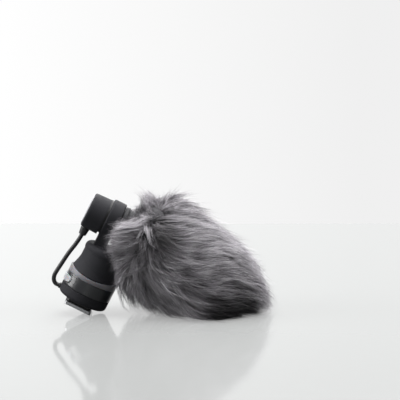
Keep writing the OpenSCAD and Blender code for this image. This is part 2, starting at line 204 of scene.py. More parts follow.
class Pattern(Enum):
    """How a surface was made, which sets the relief that it shows."""

    MOULDED = "spark-eroded mould"
    BRUSHED = "brushed along its length"
    CELLS = "open foam cells"
    WOVEN = "threads over and under"


@dataclass(frozen=True)
class Finish:
    """A material and how its surface was made.

    Attributes:
        name: common name of the material.
        colour: its colour.
        shade: colour of its slow variation.
        roughness: mean roughness.
        swing: how far the roughness varies.
        grain: size of the relief's grain.
        relief: depth of the relief.
        pattern: how the surface was made.
        edge_wear_and_highlight: colour of its edges, or None; worn on most finishes, a painted highlight on
            the pale button.
        metallic: 1 for bare metal.
        ior: index of refraction; a metal keeps the default.
        coat: weight of a clear gloss coat.
        sheen: weight of the fibres' sheen.
        scatter: weight of light scattered under the surface.
        glow: light that the camera alone sees the surface give off.
    """

    name: str
    colour: str
    shade: str
    roughness: float
    swing: float = 0.06
    grain: float = 0.5
    relief: float = 0.02
    pattern: Pattern = Pattern.MOULDED
    edge_wear_and_highlight: str | None = None
    metallic: float = 0.0
    ior: float = 1.5
    coat: float = 0.0
    sheen: float = 0.0
    scatter: float = 0.0
    glow: float = 0.0

    # Breadth of the slow variation of colour and gloss, and of the edge band, worn on most finishes and a
    # painted highlight on the pale button
    CLOUD = 9.0
    EDGE = 0.35
    # Agreement of the true and the rounded normal at which the edge band starts and is full, and its full
    # share
    WEAR_STARTS, WEAR_FULL, WEAR_SHARE = 0.99, 0.8, 0.8
    # Values of the slow variation between which the gloss swings
    GLOSS_LOW, GLOSS_HIGH = 0.3, 0.7
    # Breadth of a brushed scratch as a share of its length
    SCRATCH = 0.06

    def grain_of(self, tree: bpy.types.NodeTree) -> Socket:
        """Adds the texture of the relief.

        Args:
            tree: the material's tree.

        Returns:
            Output socket with heights from 0 to 1.
        """
        coords = add(tree, "ShaderNodeTexCoord")
        if self.pattern is Pattern.WOVEN:
            # A wave of scale 1 repeats every pi / 10, and the map is in millimetres
            weave = {"Vector": coords.outputs["UV"], "Scale": math.pi / 10 / self.grain}
            warp, weft = (add(tree, "ShaderNodeTexWave", weave, bands_direction=axis).outputs["Fac"]
                          for axis in "XY")
            return add(tree, "ShaderNodeMath", {0: warp, 1: weft}, operation="MULTIPLY").outputs[0]
        scale = 1 / (self.grain * MM)
        if self.pattern is Pattern.CELLS:
            return add(tree, "ShaderNodeTexVoronoi",
                       {"Vector": coords.outputs["Object"], "Scale": scale}).outputs["Distance"]
        stretch = (self.SCRATCH, 1, 1) if self.pattern is Pattern.BRUSHED else (1, 1, 1)
        place = add(tree, "ShaderNodeMapping", {"Vector": coords.outputs["Object"], "Scale": stretch})
        return add(tree, "ShaderNodeTexNoise",
                   {"Vector": place.outputs["Vector"], "Scale": scale, "Detail": 3.0}).outputs["Fac"]

    def material(self) -> bpy.types.Material:
        """Builds the node material.

        Colour drifts slowly between the two tones, roughness follows the same drift, the grain gives the
        bump, and a narrow band along each edge takes the edge colour: worn on most finishes, a painted
        highlight on the pale button.

        Returns:
            The material.
        """
        made, tree, shader = start_material(self.name)
        place = add(tree, "ShaderNodeTexCoord").outputs["Object"]
        cloud = add(tree, "ShaderNodeTexNoise",
                    {"Vector": place, "Scale": 1 / (self.CLOUD * MM), "Detail": 4.0}).outputs["Fac"]
        tones = {0: cloud, MIX_A: linear(self.colour), MIX_B: linear(self.shade)}
        tone = add(tree, "ShaderNodeMix", tones, data_type="RGBA").outputs[MIX_OUT]
        rounded = add(tree, "ShaderNodeBevel", {"Radius": self.EDGE * MM}, samples=6).outputs["Normal"]
        if self.edge_wear_and_highlight:
            true_normal = add(tree, "ShaderNodeNewGeometry").outputs["Normal"]
            agree = add(tree, "ShaderNodeVectorMath", {0: rounded, 1: true_normal}, operation="DOT_PRODUCT")
            edge = add(tree, "ShaderNodeMapRange",
                       {"Value": agree.outputs["Value"], "From Min": self.WEAR_STARTS,
                        "From Max": self.WEAR_FULL, "To Max": self.WEAR_SHARE}).outputs["Result"]
            tones = {0: edge, MIX_A: tone, MIX_B: linear(self.edge_wear_and_highlight)}
            tone = add(tree, "ShaderNodeMix", tones, data_type="RGBA").outputs[MIX_OUT]
        gloss = add(tree, "ShaderNodeMapRange",
                    {"Value": cloud, "From Min": self.GLOSS_LOW, "From Max": self.GLOSS_HIGH,
                     "To Min": self.roughness - self.swing,
                     "To Max": self.roughness + self.swing}).outputs["Result"]
        bump = add(tree, "ShaderNodeBump", {"Height": self.grain_of(tree), "Distance": self.relief * MM,
                                            "Normal": rounded})
        tree.links.new(tone, shader.inputs["Base Color"])
        tree.links.new(gloss, shader.inputs["Roughness"])
        tree.links.new(bump.outputs["Normal"], shader.inputs["Normal"])
        constants = {"Metallic": self.metallic, "IOR": self.ior, "Coat Weight": self.coat,
                     "Sheen Weight": self.sheen, "Subsurface Weight": self.scatter}
        for socket, value in constants.items():
            shader.inputs[socket].default_value = value
        shader.inputs["Subsurface Scale"].default_value = MM
        if self.glow:
            shader.inputs["Emission Color"].default_value = linear("#ffffff")
            seen = add(tree, "ShaderNodeLightPath").outputs["Is Camera Ray"]
            lit = add(tree, "ShaderNodeMath", {0: seen, 1: self.glow}, operation="MULTIPLY").outputs[0]
            tree.links.new(lit, shader.inputs["Emission Strength"])
        return made


@dataclass(frozen=True)
class FurFinish:
    """Acrylic pile: near black at the root, warm grey along the hair and paler at the tip.

    Attributes:
        name: common name of the material.
        stops: place along the hair, from root to tip, and the colour there.
        dim: multiplier of the darkest tufts.
        bright: multiplier of the palest tufts.
        roughness: mean roughness of the bundled fibres.
        gloss: level of their mirror reflection; 0.5 is that of a plain plastic.
    """

    name: str = "acrylic_fur_pile"
    stops: tuple[tuple[float, str], ...] = (
        (0.0, "#151416"), (0.25, "#5e5c5f"), (0.55, "#c0bec2"), (1.0, "#f0eef1"))
    dim: str = "#878487"
    bright: str = "#fffdff"
    roughness: float = 0.48
    gloss: float = 0.45

    def material(self) -> bpy.types.Material:
        """Builds the material from the strand's own map: V runs along the hair and carries painted shade, U
        is its tuft's shade.
        """
        made, tree, shader = start_material(self.name)
        where = add(tree, "ShaderNodeSeparateXYZ",
                    {0: add(tree, "ShaderNodeUVMap", uv_map=FUR_MAP).outputs["UV"]})
        along = add(tree, "ShaderNodeValToRGB", {"Fac": where.outputs["Y"]})
        ramp = along.color_ramp.elements
        for place, colour in self.stops[1:-1]:
            ramp.new(place).color = linear(colour)
        ramp[0].color = linear(self.stops[0][1])
        ramp[-1].color = linear(self.stops[-1][1])
        shades = {0: where.outputs["X"], MIX_A: linear(self.dim), MIX_B: linear(self.bright)}
        shade = add(tree, "ShaderNodeMix", shades, data_type="RGBA").outputs[MIX_OUT]
        tones = {0: 1.0, MIX_A: along.outputs["Color"], MIX_B: shade}
        tone = add(tree, "ShaderNodeMix", tones, data_type="RGBA", blend_type="MULTIPLY").outputs[MIX_OUT]
        tree.links.new(tone, shader.inputs["Base Color"])
        shader.inputs["Roughness"].default_value = self.roughness
        shader.inputs["Specular IOR Level"].default_value = self.gloss
        return made


# Moulded ABS with a spark-eroded grain: dark, and its highlights break up into a soft sheen
MATT_ABS = Finish("spark_eroded_abs", "#212124", "#28282c", 0.7, 0.06, 0.7, 0.03, edge_wear_and_highlight="#3a3a3e", ior=1.27)
# The same ABS in the joint's shadow line, a little blacker
JOINT_ABS = Finish("black_abs", "#0c0c0d", "#111113", 0.6, 0.05, 0.6, 0.02)
# Smoked polycarbonate, polished in the mould: a deep dark gloss that mirrors the table
SMOKED_PC = Finish("smoked_polycarbonate", "#1a1b1e", "#222327", 0.32, 0.05, 3.0, 0.01, ior=1.58, coat=0.1)
# Satin paint on the rear cap: pale, and soft across its crown
SATIN_PAINT = Finish("satin_silver_paint", "#9c9ca0", "#a6a6aa", 0.45, 0.06, 0.6, 0.01, edge_wear_and_highlight="#bcbcbe")
# Translucent ABS of the button: pale, with a painted highlight as a near-white band along its edges
PALE_ABS = Finish("pale_abs", "#929297", "#a4a4a8", 0.3, 0.06, 1.5, 0.01, edge_wear_and_highlight="#e4e4e5", ior=1.54,
                  scatter=0.15)
# Silicone rubber: light enters it a little, so the band looks paler than the parts around it
SILICONE = Finish("grey_silicone", "#6c6b70", "#77767b", 0.42, 0.06, 0.8, 0.02, ior=1.41, scatter=0.25)
# Soft PVC of the cable and its boot: black with a long, dull highlight
SOFT_PVC = Finish("soft_pvc", "#161617", "#1d1d1f", 0.46, 0.05, 0.5, 0.02)
# Hard-anodised aluminium of the barrel: black metal with a fine turned grain
ANODISED = Finish("black_anodised_aluminium", "#1e1e21", "#26262a", 0.38, 0.06, 0.3, 0.01, Pattern.BRUSHED,
                  edge_wear_and_highlight="#4b4b50", metallic=0.6)
# Powder-coated steel of the grille
POWDER_COAT = Finish("powder_coated_steel", "#17171a", "#1d1d20", 0.6, 0.05, 0.4, 0.03)
# Turned nickel-plated brass: bright and faintly warm
NICKEL = Finish("nickel_plated_brass", "#b3b1ac", "#c2c0bb", 0.26, 0.06, 0.4, 0.01, Pattern.BRUSHED,
                metallic=1.0)
# Aluminium of the shoe foot, brushed along the slide
BRUSHED_ALUMINIUM = Finish("brushed_aluminium", "#a2a3a6", "#b4b5b8", 0.36, 0.08, 0.25, 0.02,
                           Pattern.BRUSHED, edge_wear_and_highlight="#d8d8da", metallic=1.0)
# Zinc-plated steel of the screws: blue-grey and a little blotchy
ZINC_STEEL = Finish("zinc_plated_steel", "#8d9095", "#a0a2a6", 0.34, 0.1, 0.4, 0.02, metallic=1.0)
# Acetal of the spacer: black with a waxy sheen
ACETAL = Finish("black_acetal", "#101011", "#161617", 0.4, 0.05, 0.8, 0.01)
# Glass-filled nylon of the jack and the switch: black, its gloss broken by the fibres under the skin
NYLON = Finish("glass_filled_nylon", "#151516", "#1f1f20", 0.55, 0.08, 0.4, 0.03)
# Solder mask of the circuit boards: green and glossy
SOLDER_MASK = Finish("green_solder_mask", "#12492b", "#1a5a36", 0.3, 0.08, 0.6, 0.02, coat=0.3)
# Moulded rubber of the capsule's holder
RUBBER = Finish("black_rubber", "#131314", "#19191a", 0.62, 0.05, 0.5, 0.03)
# Polyester mesh of the acoustic sleeve: matt; its grain is drawn at 0.8 mm so that it shows
MESH_CLOTH = Finish("polyester_mesh", "#0e0e10", "#151517", 0.8, 0.05, 0.8, 0.05, sheen=0.2)
# Ribbed knit of the cuff, in dark polyester with elastane: matt, with a faint sheen on each rib
CUFF_KNIT = Finish("ribbed_knit", "#242427", "#2d2d31", 0.82, 0.05, 0.7, 0.08, Pattern.WOVEN, sheen=0.3)
# Knitted backing that the pile is locked into
BACKING_KNIT = Finish("pile_backing_knit", "#2f2d31", "#38363a", 0.85, 0.05, 0.9, 0.1, Pattern.WOVEN,
                      sheen=0.2)
# Reticulated polyurethane foam: open black cells about a millimetre across
FOAM = Finish("open_cell_foam", "#151517", "#202023", 0.9, 0.04, 1.1, 0.3, Pattern.CELLS)
# Covered elastic cord in the hem
ELASTIC = Finish("covered_elastic", "#131315", "#1b1b1d", 0.7, 0.05, 0.4, 0.05)
# Polyester sewing thread
THREAD = Finish("polyester_thread", "#39383c", "#454448", 0.55, 0.05, 0.3, 0.03, sheen=0.2)
# Matted underfur: its dark grey is painted shade, standing for the little light that gets through the pile
UNDERFUR = Finish("matted_underfur", "#333235", "#434245", 0.95, 0.03, 1.4, 0.6, sheen=0.1)
# Laminate of the table: pale, with a soft mirror
TABLE_TOP = Finish("pale_laminate", "#646665", "#666867", 0.08, 0.01, 40.0, 0.001, ior=1.45, glow=0.35)
FUR = FurFinish()


def surface(name: str, grid: Array, wrap: tuple[bool, bool] = (False, False),
            cloth: Array | None = None) -> bpy.types.Object:
    """Makes a piece from a grid of points, four neighbours to a face.

    Rows and columns that wrap join their last points to their first. Points that fall together, as at a
    pole, are merged, and the faces are then turned outwards.

    Args:
        name: name of the piece.
        grid: points of the part's frame in millimetres, as (rows, columns, 3).
        wrap: whether the rows and the columns close on themselves.
        cloth: millimetres along and across the cloth for each point, as (rows, columns, 2), or None.

    Returns:
        The new object, at the origin.
    """
    rows, columns = grid.shape[:2]
    index = np.arange(rows * columns).reshape(rows, columns)
    index = np.pad(index, ((0, int(wrap[0])), (0, int(wrap[1]))), mode="wrap")
    corners = [index[:-1, :-1], index[1:, :-1], index[1:, 1:], index[:-1, 1:]]
    quads = np.stack(corners, axis=-1).reshape(-1, 4)
    mesh = bpy.data.meshes.new(name)
    mesh.from_pydata((grid.reshape(-1, 3) * MM).tolist(), [], quads.tolist())
    if cloth is not None:
        layer = mesh.uv_layers.new(name=CLOTH_MAP)
        layer.data.foreach_set("uv", cloth.reshape(-1, 2)[quads.ravel()].astype(np.float32).ravel())
    tidy = bmesh.new()
    tidy.from_mesh(mesh)
    bmesh.ops.remove_doubles(tidy, verts=tidy.verts, dist=SAME_POINT * MM)
    bmesh.ops.recalc_face_normals(tidy, faces=tidy.faces)
    tidy.to_mesh(mesh)
    tidy.free()
    mesh.polygons.foreach_set("use_smooth", np.ones(len(mesh.polygons), bool))
    return link(name, mesh)


def about_barrel(u: Array, r: Array, angle: Array) -> Array:
    """Places points at u along the barrel's axis, r from it, and at an angle round it from straight up."""
    flat = np.broadcast_arrays(u, r * np.sin(angle), HEAD_V + r * np.cos(angle))
    return MIC.place(np.stack(flat, axis=-1))


def turned(profile: Array, steps: int) -> Array:
    """Turns a profile about the barrel's axis.

    Each point (u, r) goes to u along the axis and r from it, at every angle.

    Args:
        profile: points (u, r), as (rows, 2), or (rows, steps, 2) where it changes round the axis.
        steps: number of angles.

    Returns:
        Points of the part's frame, as (rows, steps, 3).
    """
    along, radius = np.moveaxis(profile if profile.ndim == 3 else profile[:, None, :], -1, 0)
    return about_barrel(along, radius, around(steps))


def tube(path: Array, radius: float, across: Array, sides: int, closed: bool) -> Array:
    """Carries a circle along a path.

    At each point the circle stands square to the path, and its first axis is the given direction with its
    part along the path taken out.

    Args:
        path: centre line, as (points, 3).
        radius: radius of the circle.
        across: direction that fixes the circle's turn, as (3,) or (points, 3).
        sides: number of sides.
        closed: whether the path is a loop.

    Returns:
        Grid of points, as (points, sides, 3); an open tube has a first and last row that close its ends.
    """
    if closed:
        tangent = unit(np.roll(path, -1, axis=0) - np.roll(path, 1, axis=0))
    else:
        tangent = unit(np.gradient(path, axis=0))
    reference = np.broadcast_to(across, path.shape)
    first = unit(reference - (reference * tangent).sum(-1, keepdims=True) * tangent)
    second = np.cross(tangent, first)
    angle = around(sides)
    ring = first[:, None] * np.cos(angle)[:, None] + second[:, None] * np.sin(angle)[:, None]
    grid = path[:, None] + radius * ring
    if closed:
        return grid
    return np.concatenate([np.repeat(path[:1, None], sides, 1), grid, np.repeat(path[-1:, None], sides, 1)])


def eased(points: Array, per_span: int) -> Array:
    """Draws a smooth line through points, as a Catmull-Rom curve.

    Args:
        points: points to pass through, as (n, k).
        per_span: steps between neighbouring points.

    Returns:
        The finer line, as (m, k).
    """
    padded = np.concatenate([2 * points[:1] - points[1:2], points, 2 * points[-1:] - points[-2:-1]])
    t = np.linspace(0, 1, per_span, endpoint=False)[None, :, None]
    a, b, c, d = (padded[i:len(padded) - 3 + i, None] for i in range(4))
    line = b + 0.5 * t * (c - a + t * (2 * a - 5 * b + 4 * c - d + t * (3 * (b - c) + d - a)))
    return np.concatenate([line.reshape(-1, points.shape[1]), points[-1:]])


def dress(piece: bpy.types.Object, finish: Finish | FurFinish) -> None:
    """Gives every slot of a piece, or its first slot, the material of a finish."""
    made = bpy.data.materials.get(finish.name) or finish.material()
    if not piece.data.materials:
        piece.data.materials.append(made)
    for place in piece.material_slots:
        place.material = made


def seat(piece: bpy.types.Object, body: str, finish: Finish | FurFinish, slot: str, *nodes: str) -> None:
    """Dresses a new piece, sets it on its body and hides the frame nodes that it replaces.

    Args:
        piece: the new piece.
        body: body that it rides on.
        finish: its finish.
        slot: material slot of the record; not used.
        nodes: frame nodes that it replaces.
    """
    dress(piece, finish)
    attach(piece, body)
    if nodes:
        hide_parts(*nodes)
    LOG.info("%s: %d faces on %s", piece.name, len(piece.data.polygons), body)


@dataclass(frozen=True)
class PhotoCamera:
    """The camera at the photograph's viewing angle.

    Attributes:
        azimuth: degrees round from the near side.
        elevation: degrees above the table.
        distance: distance to the point that it looks at.
        picture: side of the square picture in pixels.
        scale: pixels to a millimetre at the object.
        foot_pixel: where the near edge of the shoe foot's underside is in the picture.
        foot_point: the same place on the part, as (u, y, v).
    """

    azimuth: float = -1.0
    elevation: float = 8.3
    distance: float = 1000.0
    picture: float = 400.0
    scale: float = 1.54
    foot_pixel: Pair = (76.9, 309.5)
    foot_point: tuple[float, float, float] = (-0.3, -9.3, 0.0)

    def axes(self) -> Array:
        """Returns the camera's right, up and back directions as rows."""
        a, e = math.radians(self.azimuth), math.radians(self.elevation)
        right = (math.cos(a), math.sin(a), 0)
        up = (-math.sin(a) * math.sin(e), math.cos(a) * math.sin(e), math.cos(e))
        back = (math.sin(a) * math.cos(e), -math.cos(a) * math.cos(e), math.sin(e))
        return np.array([right, up, back])

    def build(self) -> None:
        """Makes the camera so that the foot falls on its pixel."""
        axes = self.axes()
        foot = MIC.place(np.array(self.foot_point))
        offset = (np.array(self.foot_pixel) - self.picture / 2) / self.scale
        depth = foot @ axes[2]
        nearness = 1 - depth / self.distance
        across = foot @ axes[0] - offset[0] * nearness
        upward = foot @ axes[1] + offset[1] * nearness
        aim = np.array([across, upward, 0]) @ axes
        lens = bpy.data.cameras.new("camera")
        lens.angle = 2 * math.atan(self.picture / self.scale / 2 / self.distance)
        camera = link("camera", lens)
        stand(camera, axes, aim + axes[2] * self.distance)
        bpy.context.scene.camera = camera


@dataclass(frozen=True)
class Softbox:
    """A soft square lamp that faces the middle of the object: where it hangs, its side and its power."""

    name: str
    place: tuple[float, float, float]
    side: float
    watts: float

    # Middle of the object, and the direction that a lamp's upper edge is nearest to
    MIDDLE = (0, 0, 35)
    UPPER = (0, 1, 0.01)

    def build(self) -> None:
        """Makes the lamp and turns it."""
        lamp = bpy.data.lights.new(self.name, "AREA")
        lamp.size = self.side * MM
        lamp.energy = self.watts
        back = unit(np.array(self.place, float) - np.array(self.MIDDLE))
        right = unit(np.cross(self.UPPER, back))
        stand(link(self.name, lamp), np.array([right, np.cross(back, right), back]), np.array(self.place))


@dataclass
class Studio:
    """The pale table top, the white surroundings and the soft lamps.

    Attributes:
        camera: camera that the table lies square to.
        behind: how far the table runs behind the object.
        ahead: how far it runs before the object.
        breadth: its breadth.
        fill: strength of the surroundings' own light.
        mirror_front: brightness of what a mirror sees in front of the object.
        mirror_turn: directions along Y between which that changes to full brightness behind it.
        mirror_fall: how much faster the backdrop dims to the right in a mirror, as a power.
        backdrop_right: brightness of the backdrop on the right; on the left it is full.
        backdrop_turn: directions along X between which it changes.
        lamps: the lamps.
    """

    camera: PhotoCamera
    behind: float = 362.0
    ahead: float = 2500.0
    breadth: float = 5000.0
    fill: float = 0.08
    mirror_front: float = 0.3
    mirror_turn: Span = (-0.3, 0.6)
    mirror_fall: float = 2.5
    backdrop_right: float = 0.87
    backdrop_turn: Span = (-0.11, 0.12)
    lamps: tuple[Softbox, ...] = (
        Softbox("top_softbox", (0, 40, 900), 900, 16.0),
        Softbox("left_softbox", (-900, -100, 500), 500, 8.6),
        Softbox("right_softbox", (800, -100, 600), 500, 6.0),
        Softbox("front_softbox", (-200, -1300, 500), 700, 1.4),
        Softbox("back_softbox", (200, 800, 700), 600, 8.5),
    )

    def build(self) -> None:
        """Makes the table, the surroundings and the lamps."""
        bpy.context.scene.view_settings.view_transform = "Standard"
        right = self.camera.axes()[0]
        forward = np.array((-right[1], right[0], 0))
        across, deep = np.meshgrid((-self.breadth / 2, self.breadth / 2), (-self.ahead, self.behind))
        table = surface("table", across[..., None] * right + deep[..., None] * forward)
        dress(table, TABLE_TOP)
        for lamp in self.lamps:
            lamp.build()
        self.surroundings()

    def surroundings(self) -> None:
        """Lights the room.

        The camera and glass see the backdrop. A mirror sees it too, dimmer to the right and in front of the
        object. Everything else gets the fill.
        """
        world = bpy.data.worlds.new("white_room")
        bpy.context.scene.world = world
        world.use_nodes = True
        tree = world.node_tree
        rays = add(tree, "ShaderNodeLightPath").outputs
        direction = add(tree, "ShaderNodeTexCoord").outputs["Generated"]
        way = add(tree, "ShaderNodeSeparateXYZ", {0: direction}).outputs
        straight = {0: rays["Is Camera Ray"], 1: rays["Is Transmission Ray"]}
        seen = add(tree, "ShaderNodeMath", straight, operation="MAXIMUM").outputs[0]
        mirror = add(tree, "ShaderNodeMapRange",
                     {"Value": way["Y"], "From Min": self.mirror_turn[0], "From Max": self.mirror_turn[1],
                      "To Min": self.mirror_front}).outputs["Result"]
        backdrop = add(tree, "ShaderNodeMapRange",
                       {"Value": way["X"], "From Min": self.backdrop_turn[0],
                        "From Max": self.backdrop_turn[1], "To Min": 1.0,
                        "To Max": self.backdrop_right}).outputs["Result"]
        fallen = {0: backdrop, 1: self.mirror_fall}
        mirrored = add(tree, "ShaderNodeMath", fallen, operation="POWER").outputs[0]
        room = add(tree, "ShaderNodeMath", {0: mirror, 1: mirrored}, operation="MULTIPLY").outputs[0]
        strength = self.fill
        for kind, level in ((rays["Is Glossy Ray"], room), (seen, backdrop)):
            strength = add(tree, "ShaderNodeMix", {0: kind, 2: strength, 3: level}).outputs[0]
        tree.links.new(strength, tree.nodes["Background"].inputs["Strength"])
        tree.nodes["Background"].inputs["Color"].default_value = linear("#ffffff")


@dataclass
class LinkCable:
    """The short cable from the head's boot to the base's gland.

    Attributes:
        route: centre line (u, v) from the boot's mouth to inside the gland.
        diameter: diameter of the cable.
        tuck: how far the cable starts inside the boot.
        sides: sides of the tube.
    """

    route: tuple[Pair, ...] = (
        (-18.9, 43.8), (-19.15, 40.8), (-19.8, 36), (-21.2, 29), (-22.3, 20), (-22.9, 14.4), (-22.9, 11.6),
        (-22.1, 9.2), (-20.7, 7.7), (-19, 7.15), (-17.5, 7.38), (-15.2, 7.4))
    diameter: float = 2.8
    tuck: float = 1.0
    sides: int = 20

    def build(self) -> None:
        """Carries a circle along the route; the cable bends between the head and the base."""
        route = np.array([(self.route[0][0], self.route[0][1] + self.tuck), *self.route])
        flat = eased(route, 6)
        path = MIC.place(np.stack([flat[:, 0], np.zeros(len(flat)), flat[:, 1]], axis=-1))
        grid = tube(path, self.diameter / 2, np.array((0, 1, 0)), self.sides, False)
        piece = surface("cable", grid, (False, True))
        dress(piece, SOFT_PVC)
        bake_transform(piece)
        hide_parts("link_cable")


@dataclass(frozen=True)
class Stroke:
    """One comb stroke of the fur.

    Attributes:
        x: where it is along the table.
        z: its height over the table.
        heading: its heading seen from the side, in degrees from forward towards up.
        side: how far from the middle it is; both sides are combed alike.
    """

    x: float
    z: float
    heading: float
    side: float = 22.0


@dataclass(frozen=True)
class ShadePatch:
    """A place on the flanks where shade is painted into the hair: its tone is darkened, as below the crest's
    overhang.

    Attributes:
        x: where it is along the table.
        z: its height over the table.
        radius: how far it reaches.
        depth: share by which the hair's tone falls back to the root's.
    """

    x: float
    z: float
    radius: float
    depth: float

    def tone(self, placed: Array) -> Array:
        """Gives the share of tone kept at points, least in the middle of the painted shade."""
        gap = ((placed[..., 0] - self.x) ** 2 + (placed[..., 2] - self.z) ** 2) / self.radius ** 2
        return 1 - self.depth * np.exp(-gap)


@dataclass
class Pelt:
    """The shapes that bound the fur: the backing that it grows from, its outline and its rear edge.

    Attributes:
        backing: outside of the backing, as (u, radius).
        outline: outside of the fur, as (distance along its drooping axis, radius).
        rear: least u that the fur's rear edge reaches on the side, as (v, u).
        rear_crest: how much less the crest reaches back.
        crest_half: span of the distance from the middle where the crest ends.
        crest_low: span of heights where it starts.
        crest_high: span of heights where it ends.
        start: where the fur's axis leaves the barrel's.
        droop: degrees by which it droops.
        sag: share by which the underside hangs below the outline.
        sag_end: span along the axis where the sag ends.
        skirt: share by which the lower flanks spread out over the table.
        skirt_start: span along the axis where the skirt starts.
        skirt_end: span along the axis where it ends.
        notch: share by which the crest dips at the parting.
        notch_x: where the parting meets the crest.
        notch_w: breadth of the dip.
        notch_up: span of upward directions in which it dips.
    """

    backing: tuple[Pair, ...] = (
        (5, 11.7), (9, 12.2), (13, 13.7), (18, 16.8), (24, 18), (40, 18), (60, 17.4), (72, 16), (80, 13.2),
        (85, 9.4), (88, 4.8), (89, 0))
    outline: tuple[Pair, ...] = (
        (-18, 20), (-10, 23), (-3, 26), (3, 28.5), (7, 30), (12, 32.3), (18, 34.4), (24, 34.8), (30, 34.6),
        (38, 32.6), (51, 30), (64, 27.3), (74, 25), (81.5, 22.8), (88, 20.2), (94, 16.8), (99.5, 13.4),
        (104, 10.5), (109, 7.5), (113, 3))
    rear: tuple[Pair, ...] = (
        (16, 26), (20, 22), (25, 13), (35, 8), (41, 4), (43, 1), (46, -1), (60, -1.5), (65, 0), (69, 4.5),
        (72, 7.5), (77, 10), (81, 9.5), (85, 4), (92, 2))
    rear_crest: float = 3.0
    crest_half: Span = (12, 24)
    crest_low: Span = (62, 72)
    crest_high: Span = (76, 82)
    start: float = 3.0
    droop: float = 4.0
    sag: float = 0.46
    sag_end: Span = (28, 56)
    skirt: float = 0.6
    skirt_start: Span = (25, 60)
    skirt_end: Span = (102, 114)
    notch: float = 0.14
    notch_x: float = -5.0
    notch_w: float = 6.0
    notch_up: Span = (0.5, 0.8)

    def backing_line(self, steps: int) -> tuple[Array, Array, Array]:
        """Walks along the backing in even steps.

        Args:
            steps: number of points.

        Returns:
            Points (u, r), outward normals (u, r), and the distance walked.
        """
        line = eased(np.array(self.backing), 12)
        line[:, 1] = np.maximum(line[:, 1], 0)
        walked = walk(line)
        even = np.linspace(0, walked[-1], steps)
        points = np.stack([np.interp(even, walked, line[:, k]) for k in (0, 1)], axis=-1)
        heading = unit(np.gradient(points, axis=0))
        return points, np.stack([-heading[:, 1], heading[:, 0]], axis=-1), even

    def about_axis(self, placed: Array) -> tuple[Array, Array, Array]:
        """Measures points against the fur's drooping axis.

        Args:
            placed: points of the part's frame.

        Returns:
            Distance along the axis, distance from it, and the unit direction away from it.
        """
        turn = math.radians(self.droop)
        along_axis = np.array((math.cos(turn), 0, -math.sin(turn))) @ MIC.axes
        foot = MIC.place(np.array((self.start, 0, HEAD_V)))
        reach = placed - foot
        along = reach @ along_axis
        away = reach - along[..., None] * along_axis
        return along, np.linalg.norm(away, axis=-1), unit(away)

    def fullness(self, placed: Array) -> tuple[Array, Array]:
        """Compares points with the outline.

        The outline's radius grows with the square of how far down a point faces, by the sag, and with the
        product of how far down and how far sideways it faces, by the skirt. It shrinks on the crest by a
        bell curve about the parting.

        Args:
            placed: points of the part's frame.

        Returns:
            Distance from the axis as a share of the outline there, and the direction away from the axis.
        """
        along, radius, away = self.about_axis(placed)
        places, radii = np.array(self.outline).T
        under = np.maximum(-away[..., 2], 0)
        hang = 1 + self.sag * under ** 2 * (1 - smooth(*self.sag_end, along))
        spread = smooth(*self.skirt_start, along) * (1 - smooth(*self.skirt_end, along))
        hang = hang + self.skirt * 2 * under * np.abs(away[..., 1]) * spread
        dip = np.exp(-((placed[..., 0] - self.notch_x) / self.notch_w) ** 2)
        hang = hang - self.notch * dip * smooth(*self.notch_up, away[..., 2])
        return radius / (np.interp(along, places, radii) * hang), away

    def behind(self, placed: Array) -> Array:
        """Measures how far points are behind the fur's rear edge; a negative figure is inside."""
        u, y, v = np.moveaxis(MIC.upright(placed), -1, 0)
        heights, reach = np.array(self.rear).T
        middle = 1 - smooth(*self.crest_half, np.abs(y))
        crest = self.rear_crest * middle * smooth(*self.crest_low, v) * (1 - smooth(*self.crest_high, v))
        return np.interp(v, heights, reach) + crest - u


